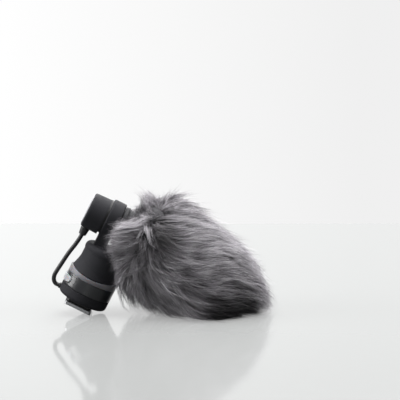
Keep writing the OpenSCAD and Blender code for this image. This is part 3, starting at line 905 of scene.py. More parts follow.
@dataclass
class Clearances:
    """Room that the fur leaves round the microphone, so that the windscreen can slide off.

    Attributes:
        neck: radius kept free round the neck.
        neck_u: where the neck stands.
        base: radius kept free round the base and the isolator.
        base_top: height below which the base's radius holds.
        ease: half the height over which one radius passes into the other.
        top: height of the neck's cap, below which both hold.
        ring: radius kept free round the barrel behind the cuff.
        ring_u: where hair that reaches the ring is cut short.
        ring_end: span of u where the ring's radius passes into the cuff's.
        cuff: radius kept free round the cuff.
        cuff_end: where the cuff's radius ends.
        stem: half breadth kept free beside the arm's stem.
        stem_u: where the stem's breadth ends.
        stem_top: height below which the stem's breadth holds.
        graze: how far hair may enter the room before it is cut short.
    """

    neck: float = 16.1
    neck_u: float = 1.2
    base: float = 18.4
    base_top: float = 27.0
    ease: float = 3.0
    top: float = 45.0
    ring: float = 13.8
    ring_u: float = 1.0
    ring_end: Span = (-0.5, 2.5)
    cuff: float = 12.0
    cuff_end: float = 12.0
    stem: float = 9.0
    stem_u: float = 0.5
    stem_top: float = 51.0
    graze: float = 1.0

    def keep(self, v: Array) -> Array:
        """Gives the radius kept free about the neck's axis at a height."""
        low = 1 - smooth(self.base_top - self.ease, self.base_top + self.ease, v)
        return self.neck + (self.base - self.neck) * low

    def blocked(self, placed: Array) -> Array:
        """Tells which points are well inside the room kept for the neck, the base or the ring."""
        u, y, v = np.moveaxis(MIC.upright(placed), -1, 0)
        gap = np.hypot(np.maximum(u - self.neck_u, 0), y)
        low = (v < self.top - self.graze / 2) & (gap < self.keep(v) - self.graze)
        return low | ((u < self.ring_u) & (np.hypot(y, v - HEAD_V) < self.ring - self.graze))

    def clear(self, placed: Array, floor: Array) -> Array:
        """Moves points out of the microphone's way and up to the table.

        Below the neck's cap a point moves away from the neck's axis or, behind it, straight out sideways.
        Above, it moves away from the barrel's axis.

        Args:
            placed: points of the part's frame, as (..., 3).
            floor: height over the table that each point keeps.

        Returns:
            The points, moved.
        """
        u, y, v = np.moveaxis(MIC.upright(placed), -1, 0)
        side = np.where(y < 0, -1.0, 1.0)
        keep = self.keep(v)
        ahead = np.maximum(u - self.neck_u, 0)
        gap = np.maximum(np.hypot(ahead, y), TINY)
        inside = (v < self.top) & (gap < keep)
        grow = np.where(inside, keep / gap, 1)
        u = np.where(inside & (ahead > 0), self.neck_u + ahead * grow, u)
        y = np.where(inside, np.where(ahead > 0, y * grow, side * keep), y)
        beside = (u < self.stem_u) & (v < self.stem_top) & (v >= self.top) & (np.abs(y) < self.stem)
        y = np.where(beside, side * self.stem, y)
        rise = v - HEAD_V
        radius = np.maximum(np.hypot(y, rise), TINY)
        least = self.cuff + (self.ring - self.cuff) * (1 - smooth(*self.ring_end, u))
        out = np.where((v >= self.top) & (radius < least) & (u < self.cuff_end), least / radius, 1)
        moved = MIC.place(np.stack([u, y * out, HEAD_V + rise * out], axis=-1))
        moved[..., 2] = np.maximum(moved[..., 2], floor)
        return moved


@dataclass(frozen=True)
class Growth:
    """How tufts grow."""

    wisps: float = 0.07  # share of locks that stand out of the outline as wisps
    wisp_end: float = 0.6  # place along the backing where wisps stop
    wisp_reach: Span = (1.0, 1.1)  # share of the outline that wisps reach
    layers: float = 0.36  # how far inside the outline the shortest locks end, as a share
    layering: Pair = (1.0, 1.8)  # shape of the beta distribution of that share
    uneven: float = 0.06  # spread of that share among tufts
    parting: Span = (0.2, 0.6)  # length of the combed flow below which strokes part
    parting_dip: float = 0.04  # share by which tufts end lower there
    length: float = 28.0  # mean length of a tuft
    length_spread: float = 0.16  # its spread, as a share
    length_limits: Span = (0.6, 1.4)  # its limits, as shares
    nose: Span = (0.5, 0.9)  # places along the backing where tufts shorten to the nose
    nose_cut: float = 0.15  # share by which they shorten
    under: Span = (0.1, 0.6)  # downward directions in which tufts lengthen
    under_end: Span = (0.85, 1.0)  # places along the backing where that ends
    under_gain: float = 0.4  # share by which they lengthen
    lock_stray: float = 0.1  # random part of a lock's direction
    tuft_stray: float = 0.14  # random part of a tuft's direction
    drift: float = 3.5  # how far from itself a tuft looks up its combed direction
    turn: float = 0.05  # share of the wished direction taken in each step
    turn_gain: float = 0.38  # what that share gains near the outline
    turn_zone: Span = (0.4, 0.9)  # shares of the tuft's own outline where it gains
    steep: Span = (0.1, 0.5)  # outward parts of the flow at which it gains at once
    skirt_under: Span = (0.15, 0.5)  # downward directions of the skirt
    skirt_x: Span = (15, 30)  # where the skirt starts along the table
    skirt_slow: float = 0.7  # share by which the gain is less in the skirt
    weight: float = 0.05  # downward pull
    middle: float = 8.0  # half breadth of the middle, where neither side leads
    splay: float = 0.9  # sideways pull near the table
    splay_z: Span = (6, 24)  # heights where it ends
    splay_x: Span = (5, 25)  # where it starts along the table
    shell: Span = (0.68, 1.0)  # shares of the outline where outward growth gives way to the flow
    flank: Span = (0.3, 0.8)  # sideways directions of the flanks
    pull: float = 0.25  # inward pull past the outline
    flank_pull: float = 4.0  # the same on the flanks
    flank_zone: float = 0.95  # share of the outline where it starts there
    table_z: Span = (0.4, 3.5)  # heights where tufts lie down on the table
    table_splay: float = 0.35  # sideways pull there
    lean: float = 0.35  # largest share by which a tuft's tip leans to its lock's leader
    lean_power: float = 1.3  # power by which the lean grows along the tuft
    agree: Span = (0.3, 0.9)  # agreement of their directions at which it leans
    ragged: float = 2.0  # spread of the rear edge
    slack: float = 0.06  # share by which a tuft may pass its own outline
    crest_slack: float = 0.05  # what it gains on the crest
    crest_up: Span = (0, 0.6)  # upward directions of the crest
    least_steps: int = 3  # steps that every tuft keeps


@dataclass(frozen=True)
class StrandLook:
    """How strands lie in a tuft, how wide they are, and what their map says."""

    size_spread: float = 0.4  # spread of the logarithm of a tuft's size
    size_short: float = 0.3  # size of the shortest tufts
    stub: float = 0.22  # kept share of a tuft below which it has hardly any strands
    stub_size: float = 0.02  # size of such a tuft
    across: tuple[float, float, float] = (0.3, 1, 0.2)  # direction that fixes a tuft's first cross axis
    spread: float = 1.05  # radius of a tuft at its root
    spread_power: float = 0.3  # power of its size in that radius
    loose: float = 0.28  # share of loose strands
    loose_in: Span = (-2.5, 0.0)  # how far loose strands draw in to the tip; a negative figure spreads
    draw_in: Span = (-0.3, 0.5)  # the same for the others
    tip_power: float = 1.4  # power by which they draw in
    reach: Span = (0.5, 1.0)  # share of the tuft's length that strands reach
    swell: float = 0.6  # share by which a tuft swells halfway
    swell_turn: float = 2.7  # angle of the sine that it swells by
    lock_sway: Pair = (0.9, 6.5)  # size and angle of the lock's sideways wave
    own_sway: Pair = (0.6, 9)  # the same of the strand's own
    lock_lift: Pair = (0.6, 7.5)  # size and angle of the lock's upward wave
    own_lift: Pair = (0.5, 8)  # the same of the strand's own
    astray_loose: float = 3.2  # how far loose tips go astray
    astray: float = 0.7  # how far the others do
    astray_power: float = 1.5  # power by which they do
    collar: Span = (0.05, 0.3)  # places along the backing where the collar passes into the rest
    collar_calm: float = 0.3  # share that tips at the collar go astray
    tone: float = 0.52  # mean shade
    lock_tone: float = 0.2  # spread of shade among locks
    tuft_tone: float = 0.2  # among a lock's tufts
    strand_tone: float = 0.25  # among a tuft's strands
    tone_limits: Span = (0.02, 0.98)  # limits of the shade
    floor: Span = (0.2, 1.4)  # height over the table that strands keep
    painted_belly_shade: float = 0.95  # share of tone lost to painted shade near the table under the fur's underside
    belly_shade_z: Span = (6, 25)  # heights where that painted shade ends
    belly_shade_start: Span = (18, 36)  # where it starts along the table
    belly_shade_end: Span = (52, 70)  # where it ends
    width: float = 0.19  # width of a strand at its widest
    width_share: Span = (0.6, 1.25)  # its spread, as shares
    roll: float = 1.0  # largest roll of a strand from lying flat, in radians
    root_width: float = 0.6  # share of the width at the root
    root_end: Span = (0, 0.3)  # part of the strand where that ends
    tip: Span = (0.5, 1.05)  # part of the strand where it tapers to its tip
    map_half: float = 0.004  # half the breadth of a strand in its map
    map_edge: float = 0.01  # margin of the map along the strand


@dataclass
class FurPile:
    """The long pile: tufts that follow comb strokes, each made of many flat tapering strands.

    Attributes:
        pelt: shapes that bound the fur.
        room: room that it leaves.
        growth: how its tufts grow.
        look: how its strands lie.
        locks: number of locks, which tufts draw together into.
        tufts: number of tufts.
        strands: number of strands in all.
        bands: pieces that the pile is split into, from the cuff to the nose.
        rows: steps along the backing that the roots are spread over.
        steps: steps in which a tuft is grown.
        points: points along a strand, its tip included.
        seed: start of the random draws.
        soften: distance below which comb strokes blend evenly.
        collar: span of u over which the crowding of tufts at the collar ends.
        collar_crowd: how many more tufts the collar has, as a share.
        nose_crowd: what the nose's last ring weighs in the crowding.
        painted_shades: places where shade is painted into the hair's tone.
        comb: comb strokes on the side of the fur and on its crest.
    """

    pelt: Pelt
    room: Clearances
    growth: Growth = Growth()
    look: StrandLook = StrandLook()
    locks: int = 850
    tufts: int = 7600
    strands: int = 185_000
    quick_strands: int = 30_000
    bands: int = 10
    rows: int = 400
    steps: int = 14
    points: int = 6
    seed: int = 7
    soften: float = 6.0
    collar: Span = (10, 22)
    collar_crowd: float = 1.4
    nose_crowd: float = 0.4
    # Painted shade: a patch below the crest's overhang, and one lower on the flank
    painted_shades: tuple[ShadePatch, ...] = (ShadePatch(2, 53, 12, 0.66), ShadePatch(20, 25, 11, 0.45))
    comb: tuple[Stroke, ...] = (
        # rear collar, swept back beside the ring and the neck
        Stroke(-13, 66, 226, 14), Stroke(-21, 60, 170), Stroke(-14, 55, 185), Stroke(-29, 53, 166),
        Stroke(-21, 48, 180), Stroke(-29, 44, 160), Stroke(-29, 36, 165), Stroke(-22, 40, 195),
        # below it, hanging down beside the base
        Stroke(-24, 31, 235), Stroke(-28, 24, 243), Stroke(-21, 22, 265), Stroke(-18, 13, 288),
        # right of the parting, down and round towards the table
        Stroke(-13, 46, 308), Stroke(-6, 48, 295), Stroke(-13, 36, 310), Stroke(-6, 36, 297),
        Stroke(2, 46, 317), Stroke(2, 36, 320), Stroke(-13, 22, 302), Stroke(-5, 21, 298),
        Stroke(2, 24, 312), Stroke(-6, 9, 296), Stroke(2, 12, 325), Stroke(9, 22, 340),
        Stroke(10, 10, 340), Stroke(18, 20, 343), Stroke(19, 9, 340),
        # forward along the flank
        Stroke(-4, 57, -15), Stroke(2, 60, 6), Stroke(10, 60, 10), Stroke(17, 61, 20), Stroke(10, 48, 36),
        Stroke(18, 50, 40), Stroke(25, 46, 30), Stroke(10, 38, 24), Stroke(18, 38, 24), Stroke(25, 35, 30),
        Stroke(33, 39, 10), Stroke(33, 32, 14), Stroke(40, 34, 14), Stroke(47, 31, 0), Stroke(28, 24, 4),
        Stroke(40, 23, -8), Stroke(54, 24, -14), Stroke(28, 14, 0), Stroke(40, 14, -12), Stroke(52, 15, 10),
        # crest: wisps up at the parting, then forward
        Stroke(-16, 77, 140, 0), Stroke(-11, 71, 116, 0), Stroke(-3, 72, 70, 0), Stroke(5, 77, 62, 0),
        Stroke(10, 72, 36, 0), Stroke(19, 67, 18, 0), Stroke(28, 61, 0, 0), Stroke(40, 51, -14, 0),
        Stroke(52, 39, -30, 0),
        # underside, hanging to the table
        Stroke(-22, 30, 255, 5), Stroke(-18, 20, 262, 5), Stroke(-8, 16, 276, 5), Stroke(6, 10, 290, 5),
        Stroke(22, 6, 310, 5),
        # nose, down to the table and out over it
        Stroke(61, 26, -68, 0), Stroke(65, 15, -68, 0), Stroke(67, 5, -30, 0), Stroke(60, 5, -10, 14),
        Stroke(48, 6, -12), Stroke(34, 6, -12))

    def flow(self, placed: Array) -> Array:
        """Blends the comb strokes by the inverse cube of their distance, evened out near a stroke.

        Where strokes part, they cancel, so the blend is short there.

        Args:
            placed: points of the part's frame, as (n, 3).

        Returns:
            Directions up to 1 long, as (n, 3), with nothing across.
        """
        table = np.array([(stroke.x, stroke.side, stroke.z) for stroke in self.comb])
        turn = np.radians([stroke.heading for stroke in self.comb])
        gap = placed[:, None] * np.array((1, 0, 1)) + np.abs(placed[:, None]) * np.array((0, 1, 0)) - table
        weight = ((gap ** 2).sum(-1) + self.soften ** 2) ** -1.5
        heading = np.stack([np.cos(turn), np.zeros(len(turn)), np.sin(turn)], axis=-1)
        return weight @ heading / weight.sum(-1, keepdims=True)

    def roots(self, count: int) -> tuple[Array, Array, Array]:
        """Spreads tufts evenly over the backing, by a golden-angle spiral.

        The share of tufts that lie before a place follows the backing's area, with more at the collar.

        Args:
            count: number of tufts.

        Returns:
            Root points and outward normals of the part's frame, and how far along the backing each root is.
        """
        line, normal, walked = self.pelt.backing_line(self.rows)
        collar = 1 - smooth(*self.collar, line[:, 0])
        crowd = line[:, 1] * (1 + self.collar_crowd * collar) + self.nose_crowd
        share = np.cumsum(crowd) / crowd.sum()
        number = np.arange(count)
        place = np.interp((number + 0.5) / count, share, walked)
        angle = number * math.pi * (3 - math.sqrt(5))
        u, r, nu, nr = (np.interp(place, walked, column) for column in (*line.T, *normal.T))
        normals = np.column_stack([nu, nr * np.sin(angle), nr * np.cos(angle)]) @ MIC.axes
        return about_barrel(u, r, angle), unit(normals), place / walked[-1]

    def steer(self, here: Array, heading: Array, normals: Array, share: Array, stray: Array,
              drift: Array) -> Array:
        """Turns growing tufts for their next step.

        A heading takes a share of the wished direction, which is the combed flow, the root's normal where
        the flow is short, and a little weight. The share is large where the flow leads outwards, or else
        near the tuft's own outline. There the outward part of the heading gives way to the flow. Past the
        outline the heading is pulled in, and near the table it turns sideways and level.

        Args:
            here: where each tuft has grown to.
            heading: its heading so far.
            normals: normals of the roots.
            share: share of the outline that each tuft fills.
            stray: random part of each tuft's wish.
            drift: how far from itself each tuft looks up the flow.

        Returns:
            The new headings, each 1 long.
        """
        g = self.growth
        full, away = self.pelt.fullness(here)
        filled = full / share
        flow = self.flow(here + drift)
        steep = smooth(*g.steep, (flow * away).sum(-1))
        skirt = smooth(*g.skirt_under, -normals[:, 2]) * smooth(*g.skirt_x, here[:, 0])
        gain = np.maximum(smooth(*g.turn_zone, filled), steep) * (1 - g.skirt_slow * skirt)
        turn = (g.turn + g.turn_gain * gain)[:, None]
        upright = 1 - np.linalg.norm(flow, axis=-1, keepdims=True)
        wish = flow + upright * normals + stray + np.array((0, 0, -g.weight))
        side = np.tanh(here[:, 1] / g.middle)
        splay = (1 - smooth(*g.splay_z, here[:, 2])) * smooth(*g.splay_x, here[:, 0])
        wish[:, 1] += g.splay * side * splay
        heading = unit(heading * (1 - turn) + wish * turn)
        outward = np.maximum((heading * away).sum(-1), 0) * smooth(*g.shell, filled)
        heading = heading + (flow - away) * outward[:, None]
        flank = smooth(*g.flank, np.abs(away[:, 1]))
        past = g.pull * np.maximum(filled - 1, 0)
        past = past + g.flank_pull * flank * np.maximum(filled - g.flank_zone, 0)
        heading = heading - away * past[:, None]
        low = 1 - smooth(*g.table_z, here[:, 2])
        heading[:, 2] = np.where(heading[:, 2] < 0, heading[:, 2] * (1 - low), heading[:, 2])
        heading[:, 1] += g.table_splay * side * low
        return unit(heading)

    def guides(self, rng: np.random.Generator) -> tuple[Array, Array, Array, Array, Array]:
        """Grows the tufts' centre lines and draws them together into locks.

        Each starts along the backing's normal and is steered step by step into the combed direction.
        Towards its tip it leans over to the nearest of the tufts that lead a lock. It ends where it would
        pass its own outline or the fur's rear edge, or enter the room kept for the microphone.

        Args:
            rng: random draws.

        Returns:
            Lines as (tufts, steps + 1, 3), the share of each line that is kept, each tuft's lock, root
            normals, and the roots' places along the backing.
        """
        g = self.growth
        here, heading, place = self.roots(self.tufts)
        normals = heading.copy()
        leader = rng.choice(self.tufts, self.locks, replace=False)
        apart = (here ** 2).sum(-1)[:, None] + (here[leader] ** 2).sum(-1) - 2 * here @ here[leader].T
        lock = np.argmin(apart, axis=1)
        wisp = (rng.uniform(0, 1, self.locks) < g.wisps) & (place[leader] < g.wisp_end)
        high = rng.uniform(*g.wisp_reach, self.locks)
        depth = np.where(wisp, high, 1.0 - g.layers * rng.beta(*g.layering, self.locks))
        parting = 1 - smooth(*g.parting, np.linalg.norm(self.flow(here), axis=-1))
        share = depth[lock] + g.uneven * rng.standard_normal(self.tufts) - g.parting_dip * parting
        length = g.length * (1 + g.length_spread * rng.standard_normal(self.tufts)).clip(*g.length_limits)
        length = length * (1 - g.nose_cut * smooth(*g.nose, place))
        under = smooth(*g.under, -normals[:, 2]) * (1 - smooth(*g.under_end, place))
        length = length * (1 + g.under_gain * under)
        stray = g.lock_stray * rng.standard_normal((self.locks, 3))[lock]
        stray = stray + g.tuft_stray * rng.standard_normal((self.tufts, 3))
        drift = g.drift * rng.standard_normal((self.tufts, 3))
        lines = [here]
        for _ in range(self.steps):
            heading = self.steer(here, heading, normals, share, stray, drift)
            here = here + heading * (length / self.steps)[:, None]
            lines.append(here)
        lines = np.stack(lines, axis=1)
        sweep = unit(lines[:, -1] - lines[:, self.steps // 3])
        agree = smooth(*g.agree, (sweep * sweep[leader[lock]]).sum(-1))
        lean = (rng.uniform(0, g.lean, self.tufts) * agree)[:, None]
        lean = lean * np.linspace(0, 1, self.steps + 1) ** g.lean_power
        lines = lines + (lines[leader[lock]] - lines) * lean[..., None]
        edge = g.ragged * rng.standard_normal(self.tufts)[:, None]
        full, away = self.pelt.fullness(lines)
        over = full > share[:, None] + g.slack + g.crest_slack * smooth(*g.crest_up, away[..., 2])
        stop = over | (self.pelt.behind(lines) > edge) | self.room.blocked(lines)
        stop[:, -1] = True
        stop[:, :g.least_steps] = False
        return lines, np.argmax(stop, axis=1) / self.steps, lock, normals, place

    def strand_lines(self, rng: np.random.Generator) -> tuple[Array, Array, Array, Array]:
        """Spreads the strands of each tuft about its centre line.

        A strand keeps its own offset from the centre line. The offset swells halfway and draws in to the
        tuft's tip, so that tufts are pointed. Sine waves of the lock and of the strand sway it, and its tip
        goes astray, that of a loose strand farther.

        Args:
            rng: random draws.

        Returns:
            Strands as (strands, points, 3), their shade, their tone along the hair with painted shade near
            the table and in the flanks' patches, and their roots' places.
        """
        s = self.look
        lines, kept, lock, normals, place = self.guides(rng)
        strong = np.where(kept > s.stub, s.size_short + (1 - s.size_short) * kept, s.stub_size)
        size = rng.lognormal(0, s.size_spread, self.tufts) * strong
        owner = np.sort(rng.choice(self.tufts, self.strands, p=size / size.sum()))
        first = unit(np.cross(normals, s.across))
        second = np.cross(normals, first)
        angle = rng.uniform(0, 2 * np.pi, self.strands)
        spread = s.spread * np.sqrt(rng.uniform(0, 1, self.strands)) * size[owner] ** s.spread_power
        offset = np.cos(angle)[:, None] * first[owner] + np.sin(angle)[:, None] * second[owner]
        offset = offset * spread[:, None]
        loose = rng.uniform(0, 1, self.strands) < s.loose
        wide = rng.uniform(*s.loose_in, self.strands)
        draw_in = np.where(loose, wide, rng.uniform(*s.draw_in, self.strands))
        reach = np.linspace(0, 1, self.points) * rng.uniform(*s.reach, self.strands)[:, None]
        exact = reach * (kept[owner] * self.steps)[:, None]
        low = np.minimum(exact.astype(int), self.steps - 1)
        part = (exact - low)[..., None]
        centre = lines[owner[:, None], low] * (1 - part) + lines[owner[:, None], low + 1] * part
        swell = (1 + s.swell * np.sin(s.swell_turn * reach)) * (1 - draw_in[:, None] * reach ** s.tip_power)
        wave = rng.uniform(0, 2 * np.pi, (self.locks, 2))[lock[owner]]
        own = rng.uniform(0, 2 * np.pi, (self.strands, 2))

        def waves(column: int, of_lock: Pair, of_strand: Pair) -> Array:
            """Adds the lock's and the strand's own sine wave along the strands."""
            return (of_lock[0] * np.sin(wave[:, column, None] + of_lock[1] * reach)
                    + of_strand[0] * np.sin(own[:, column, None] + of_strand[1] * reach))

        sway, lift = waves(0, s.lock_sway, s.own_sway), waves(1, s.lock_lift, s.own_lift)
        astray = rng.standard_normal((self.strands, 3)) * np.where(loose, s.astray_loose, s.astray)[:, None]
        astray *= s.collar_calm + (1 - s.collar_calm) * smooth(*s.collar, place[owner])[:, None]
        strands = centre + offset[:, None] * swell[..., None]
        strands = strands + astray[:, None] * (reach ** s.astray_power)[..., None]
        for size_of, axis in ((sway, first), (lift, second)):
            strands = strands + (size_of * reach)[..., None] * axis[owner, None]
        tone = s.tone + s.lock_tone * rng.standard_normal(self.locks)[lock]
        tone = tone + s.tuft_tone * rng.standard_normal(self.tufts)
        shade = (tone[owner] + s.strand_tone * rng.standard_normal(self.strands)).clip(*s.tone_limits)
        floor = rng.uniform(*s.floor, self.strands)[:, None]
        strands = self.room.clear(strands, floor)
        x, z = strands[..., 0], strands[..., 2]
        # Painted shade: near the table, under the fur's overhang, the hair's tone falls back towards the
        # root's
        painted_belly_shade = (1 - smooth(*s.belly_shade_z, z)) * smooth(*s.belly_shade_start, x) * (1 - smooth(*s.belly_shade_end, x))
        # Painted shade of the flanks' patches: the hair's tone falls back towards the root's
        patch_shading = math.prod(shade_patch.tone(strands) for shade_patch in self.painted_shades)
        return strands, shade, reach * patch_shading * (1 - s.painted_belly_shade * painted_belly_shade), place[owner]

    def ribbons(self, strands: Array, rng: np.random.Generator) -> Array:
        """Gives the strands their width.

        A ribbon's edge stands square to the strand, turned about it by a random roll from lying flat on the
        fur. Its half width rises from the root, holds, and falls to nothing at the tip.

        Args:
            strands: centre lines, as (n, points, 3).
            rng: random draws.

        Returns:
            Corners as (n, 2 * points - 1, 3): pairs from the root up, then the tip.
        """
        tangent = unit(np.gradient(strands, axis=1))
        _, _, away = self.pelt.about_axis(strands)
        flat = unit(np.cross(tangent, away))
        look = self.look
        roll = rng.uniform(-look.roll, look.roll, len(strands))[:, None, None]
        edge = np.cos(roll) * flat + np.sin(roll) * np.cross(tangent, flat)
        share = np.linspace(0, 1, self.points)
        rise = look.root_width + (1 - look.root_width) * smooth(*look.root_end, share)
        taper = rise * (1 - smooth(*look.tip, share))
        half = look.width / 2 * rng.uniform(*look.width_share, len(strands))[:, None] * taper
        pairs = np.stack([strands - edge * half[..., None], strands + edge * half[..., None]], axis=2)
        return np.concatenate([pairs[:, :-1].reshape(len(strands), -1, 3), strands[:, -1:]], axis=1)

    def band(self, name: str, corners: Array, shade: Array, along: Array) -> bpy.types.Object:
        """Makes one piece of pile.

        Args:
            name: name of the piece.
            corners: ribbon corners, as (n, 2 * points - 1, 3).
            shade: shade of each strand.
            along: tone along the hair at each point of each strand, painted shade included.

        Returns:
            The piece.
        """
        count, per = corners.shape[:2]
        rungs = np.arange(self.points - 2)[:, None] * 2 + np.array((0, 1, 3, 2))
        tip = np.array((per - 3, per - 2, per - 1))
        loops = np.concatenate([rungs.ravel(), tip])
        sides = np.concatenate([np.full(len(rungs), 4), [3]])
        starts = np.concatenate([[0], np.cumsum(sides)[:-1]])
        mesh = bpy.data.meshes.new(name)
        mesh.vertices.add(count * per)
        mesh.vertices.foreach_set("co", (corners * MM).astype(np.float32).ravel())
        mesh.loops.add(count * len(loops))
        mesh.loops.foreach_set("vertex_index", (np.arange(count)[:, None] * per + loops).ravel())
        mesh.polygons.add(count * len(sides))
        mesh.polygons.foreach_set("loop_start", (np.arange(count)[:, None] * len(loops) + starts).ravel())
        mesh.polygons.foreach_set("use_smooth", np.ones(count * len(sides), bool))
        corner_v = np.concatenate([np.repeat(along[:, :-1], 2, axis=1), along[:, -1:]], axis=1)
        edges = np.concatenate([np.tile((-1, 1), self.points - 1), [0]])
        corner_u = shade[:, None] + self.look.map_half * edges
        margin = self.look.map_edge
        where = np.stack([corner_u, corner_v * (1 - 2 * margin) + margin], axis=-1)
        mesh.update(calc_edges=True)
        mesh.uv_layers.new(name=FUR_MAP).data.foreach_set("uv", where[:, loops].astype(np.float32).ravel())
        return link(name, mesh)

    def build(self) -> None:
        """Grows the pile and splits it into bands from the cuff to the nose."""
        rng = np.random.default_rng(self.seed)
        strands, shade, along, place = self.strand_lines(rng)
        corners = self.ribbons(strands, rng)
        order = np.argsort(place, kind="stable")
        for number, chosen in enumerate(np.array_split(order, self.bands), 1):
            piece = self.band(f"fur_band_{number}", corners[chosen], shade[chosen], along[chosen])
            seat(piece, "windscreen", FUR, "fur", "fur_cover")


@dataclass
class Windscreen:
    """The windscreen under its pile: matted underfur, backing, foam, cuff, elastic and stitching.

    Attributes:
        pelt: shapes that bound the fur.
        room: room that the fur leaves.
        underfur: share of the way to the outline that the underfur fills.
        backing_t: thickness of the backing.
        cuff_u: where the cuff starts.
        cuff_l: its length.
        cuff_r: its inner radius.
        cuff_t: its thickness.
        hem_l: length of the hem.
        hem_t: how much thicker the hem is.
        ribs: ribs of the knit round the cuff.
        rib_h: depth of the furrows between the ribs.
        cavity: radius of the foam's cavity.
        cavity_u: where the cavity's round end starts.
        foam_u: where the foam starts.
        foam_gap: gap between the foam and the backing.
        elastic_r: radius of the elastic's section.
        stitches: zigzags of the hem's stitching.
        stitch_w: half the breadth of a zigzag.
        stitch_in: how far the thread dips into the knit.
        stitch_edge: distance of the zigzag's middle from the hem's end.
        thread_r: radius of the thread.
        rows: steps of the backing and the foam along their side.
        steps: their steps round.
        under_rows: steps of the underfur along its side.
        under_steps: its steps round.
        under_least: least room between backing and outline that it counts with.
        under_ends: rows over which it rises from the backing at the cuff.
        under_floor: height over the table that it keeps.
        under_gap: gap between its inside and the backing.
        wave: share by which waves change its depth.
        wave_turns: waves round it.
        wave_twist: how far they turn from row to row.
        wave_beats: how often they swell and fade round it.
        pore: share by which pores dent the foam.
        pore_step: their turn from row to row.
        pore_turns: pores round it.
        cuff_gap: gap between the cuff's inside and its radius.
        hem_corner: rounding of the hem's corners.
        end_corner: rounding of the other end, along and down.
        rib_start: heights over the inner radius where the ribs start.
    """

    pelt: Pelt = field(default_factory=Pelt)
    room: Clearances = field(default_factory=Clearances)
    underfur: float = 0.45
    backing_t: float = 0.8
    cuff_u: float = -0.8
    cuff_l: float = 12.4
    cuff_r: float = 9.8
    cuff_t: float = 1.0
    hem_l: float = 3.0
    hem_t: float = 0.6
    ribs: int = 60
    rib_h: float = 0.16
    cavity: float = 9.9
    cavity_u: float = 46.0
    foam_u: float = 12.5
    foam_gap: float = 0.15
    elastic_r: float = 0.38
    stitches: int = 48
    stitch_w: float = 0.45
    stitch_in: float = 0.1
    stitch_edge: float = 0.8
    thread_r: float = 0.13
    rows: int = 60
    steps: int = 96
    under_rows: int = 70
    under_steps: int = 120
    under_least: float = 6.0
    under_ends: int = 12
    under_floor: float = 3.0
    under_gap: float = 0.1
    wave: float = 0.12
    wave_turns: int = 9
    wave_twist: float = 0.4
    wave_beats: int = 5
    pore: float = 0.01
    pore_step: float = 2.1
    pore_turns: int = 17
    cuff_gap: float = 0.02
    hem_corner: float = 0.5
    end_corner: Pair = (0.4, 0.3)
    rib_start: Span = (0.4, 0.8)

    def build(self) -> None:
        """Makes every soft piece of the windscreen."""
        self.build_underfur()
        self.build_backing()
        self.build_foam()
        self.build_cuff()
        self.build_elastic()
        self.build_stitching()
        pile = FurPile(self.pelt, self.room)
        pile.build()

    def build_underfur(self) -> None:
        """Lofts the dark underfur: the backing, moved out by a share of the way to the fur's outline.

        Two slow waves round and along it keep it from looking turned, and a second layer on the backing
        closes it.
        """
        line, normal, _ = self.pelt.backing_line(self.under_rows)
        angle = around(self.under_steps)
        rows = np.arange(len(line))
        places, radii = np.array(self.pelt.outline).T
        depth = np.interp(line[:, 0] - self.pelt.start, places, radii) - line[:, 1]
        depth = np.maximum(depth, self.under_least) * self.underfur * smooth(0, self.under_ends, rows)
        beats = np.cos(self.wave_beats * angle)
        wave = np.sin(self.wave_turns * angle + self.wave_twist * rows[:, None]) * beats
        rise = depth[:, None] * (1 + self.wave * wave)
        outside = turned(line[:, None] + normal[:, None] * rise[..., None], self.under_steps)
        outside = self.room.clear(outside, np.array(self.under_floor))
        inside = turned((line + normal * self.under_gap)[::-1], self.under_steps)
        piece = surface("underfur", np.concatenate([outside, inside]), (True, True))
        seat(piece, "windscreen", UNDERFUR, "fur", "fur_cover")

    def build_backing(self) -> None:
        """Turns the backing cloth: its outside to the nose, and back along its inside."""
        line, normal, walked = self.pelt.backing_line(self.rows)
        inner = line - normal * self.backing_t
        inner[0] = (line[0, 0], line[0, 1] - self.backing_t)
        inner[-1, 1] = 0
        profile = np.concatenate([line, inner[::-1]])
        profile[:, 1] = np.maximum(profile[:, 1], 0)
        span = np.concatenate([walked, walked[::-1]])
        girth = 2 * math.pi * line[:, 1].max()
        across = np.linspace(0, girth, self.steps, endpoint=False)
        cloth = np.stack(np.meshgrid(across, span), axis=-1)
        piece = surface("backing", turned(profile, self.steps), (True, True), cloth)
        seat(piece, "windscreen", BACKING_KNIT, "backing", "backing_cloth")

    def build_foam(self) -> None:
        """Turns the foam: under the backing to the nose, and back along its round-ended cavity."""
        line, normal, _ = self.pelt.backing_line(self.rows)
        outer = line - normal * (self.backing_t + self.foam_gap)
        outer = outer[outer[:, 0] > self.foam_u]
        outer[-1, 1] = 0
        bend = np.linspace(0, math.pi / 2, 14)
        end = np.stack([self.cavity_u + self.cavity * np.cos(bend), self.cavity * np.sin(bend)], axis=-1)
        mouth = np.array([(outer[0, 0], self.cavity)])
        profile = np.concatenate([outer, end, mouth])
        profile[:, 1] = np.maximum(profile[:, 1], 0)
        along = np.sin(np.arange(len(profile))[:, None] * self.pore_step)
        pores = 1 + self.pore * along * np.sin(self.pore_turns * np.linspace(0, 2 * np.pi, self.steps))
        u = np.repeat(profile[:, :1], self.steps, 1)
        shaped = np.stack([u, profile[:, 1:] * np.minimum(pores, 1)], axis=-1)
        piece = surface("foam", turned(shaped, self.steps), (True, True))
        seat(piece, "windscreen", FOAM, "foam", "foam_core")

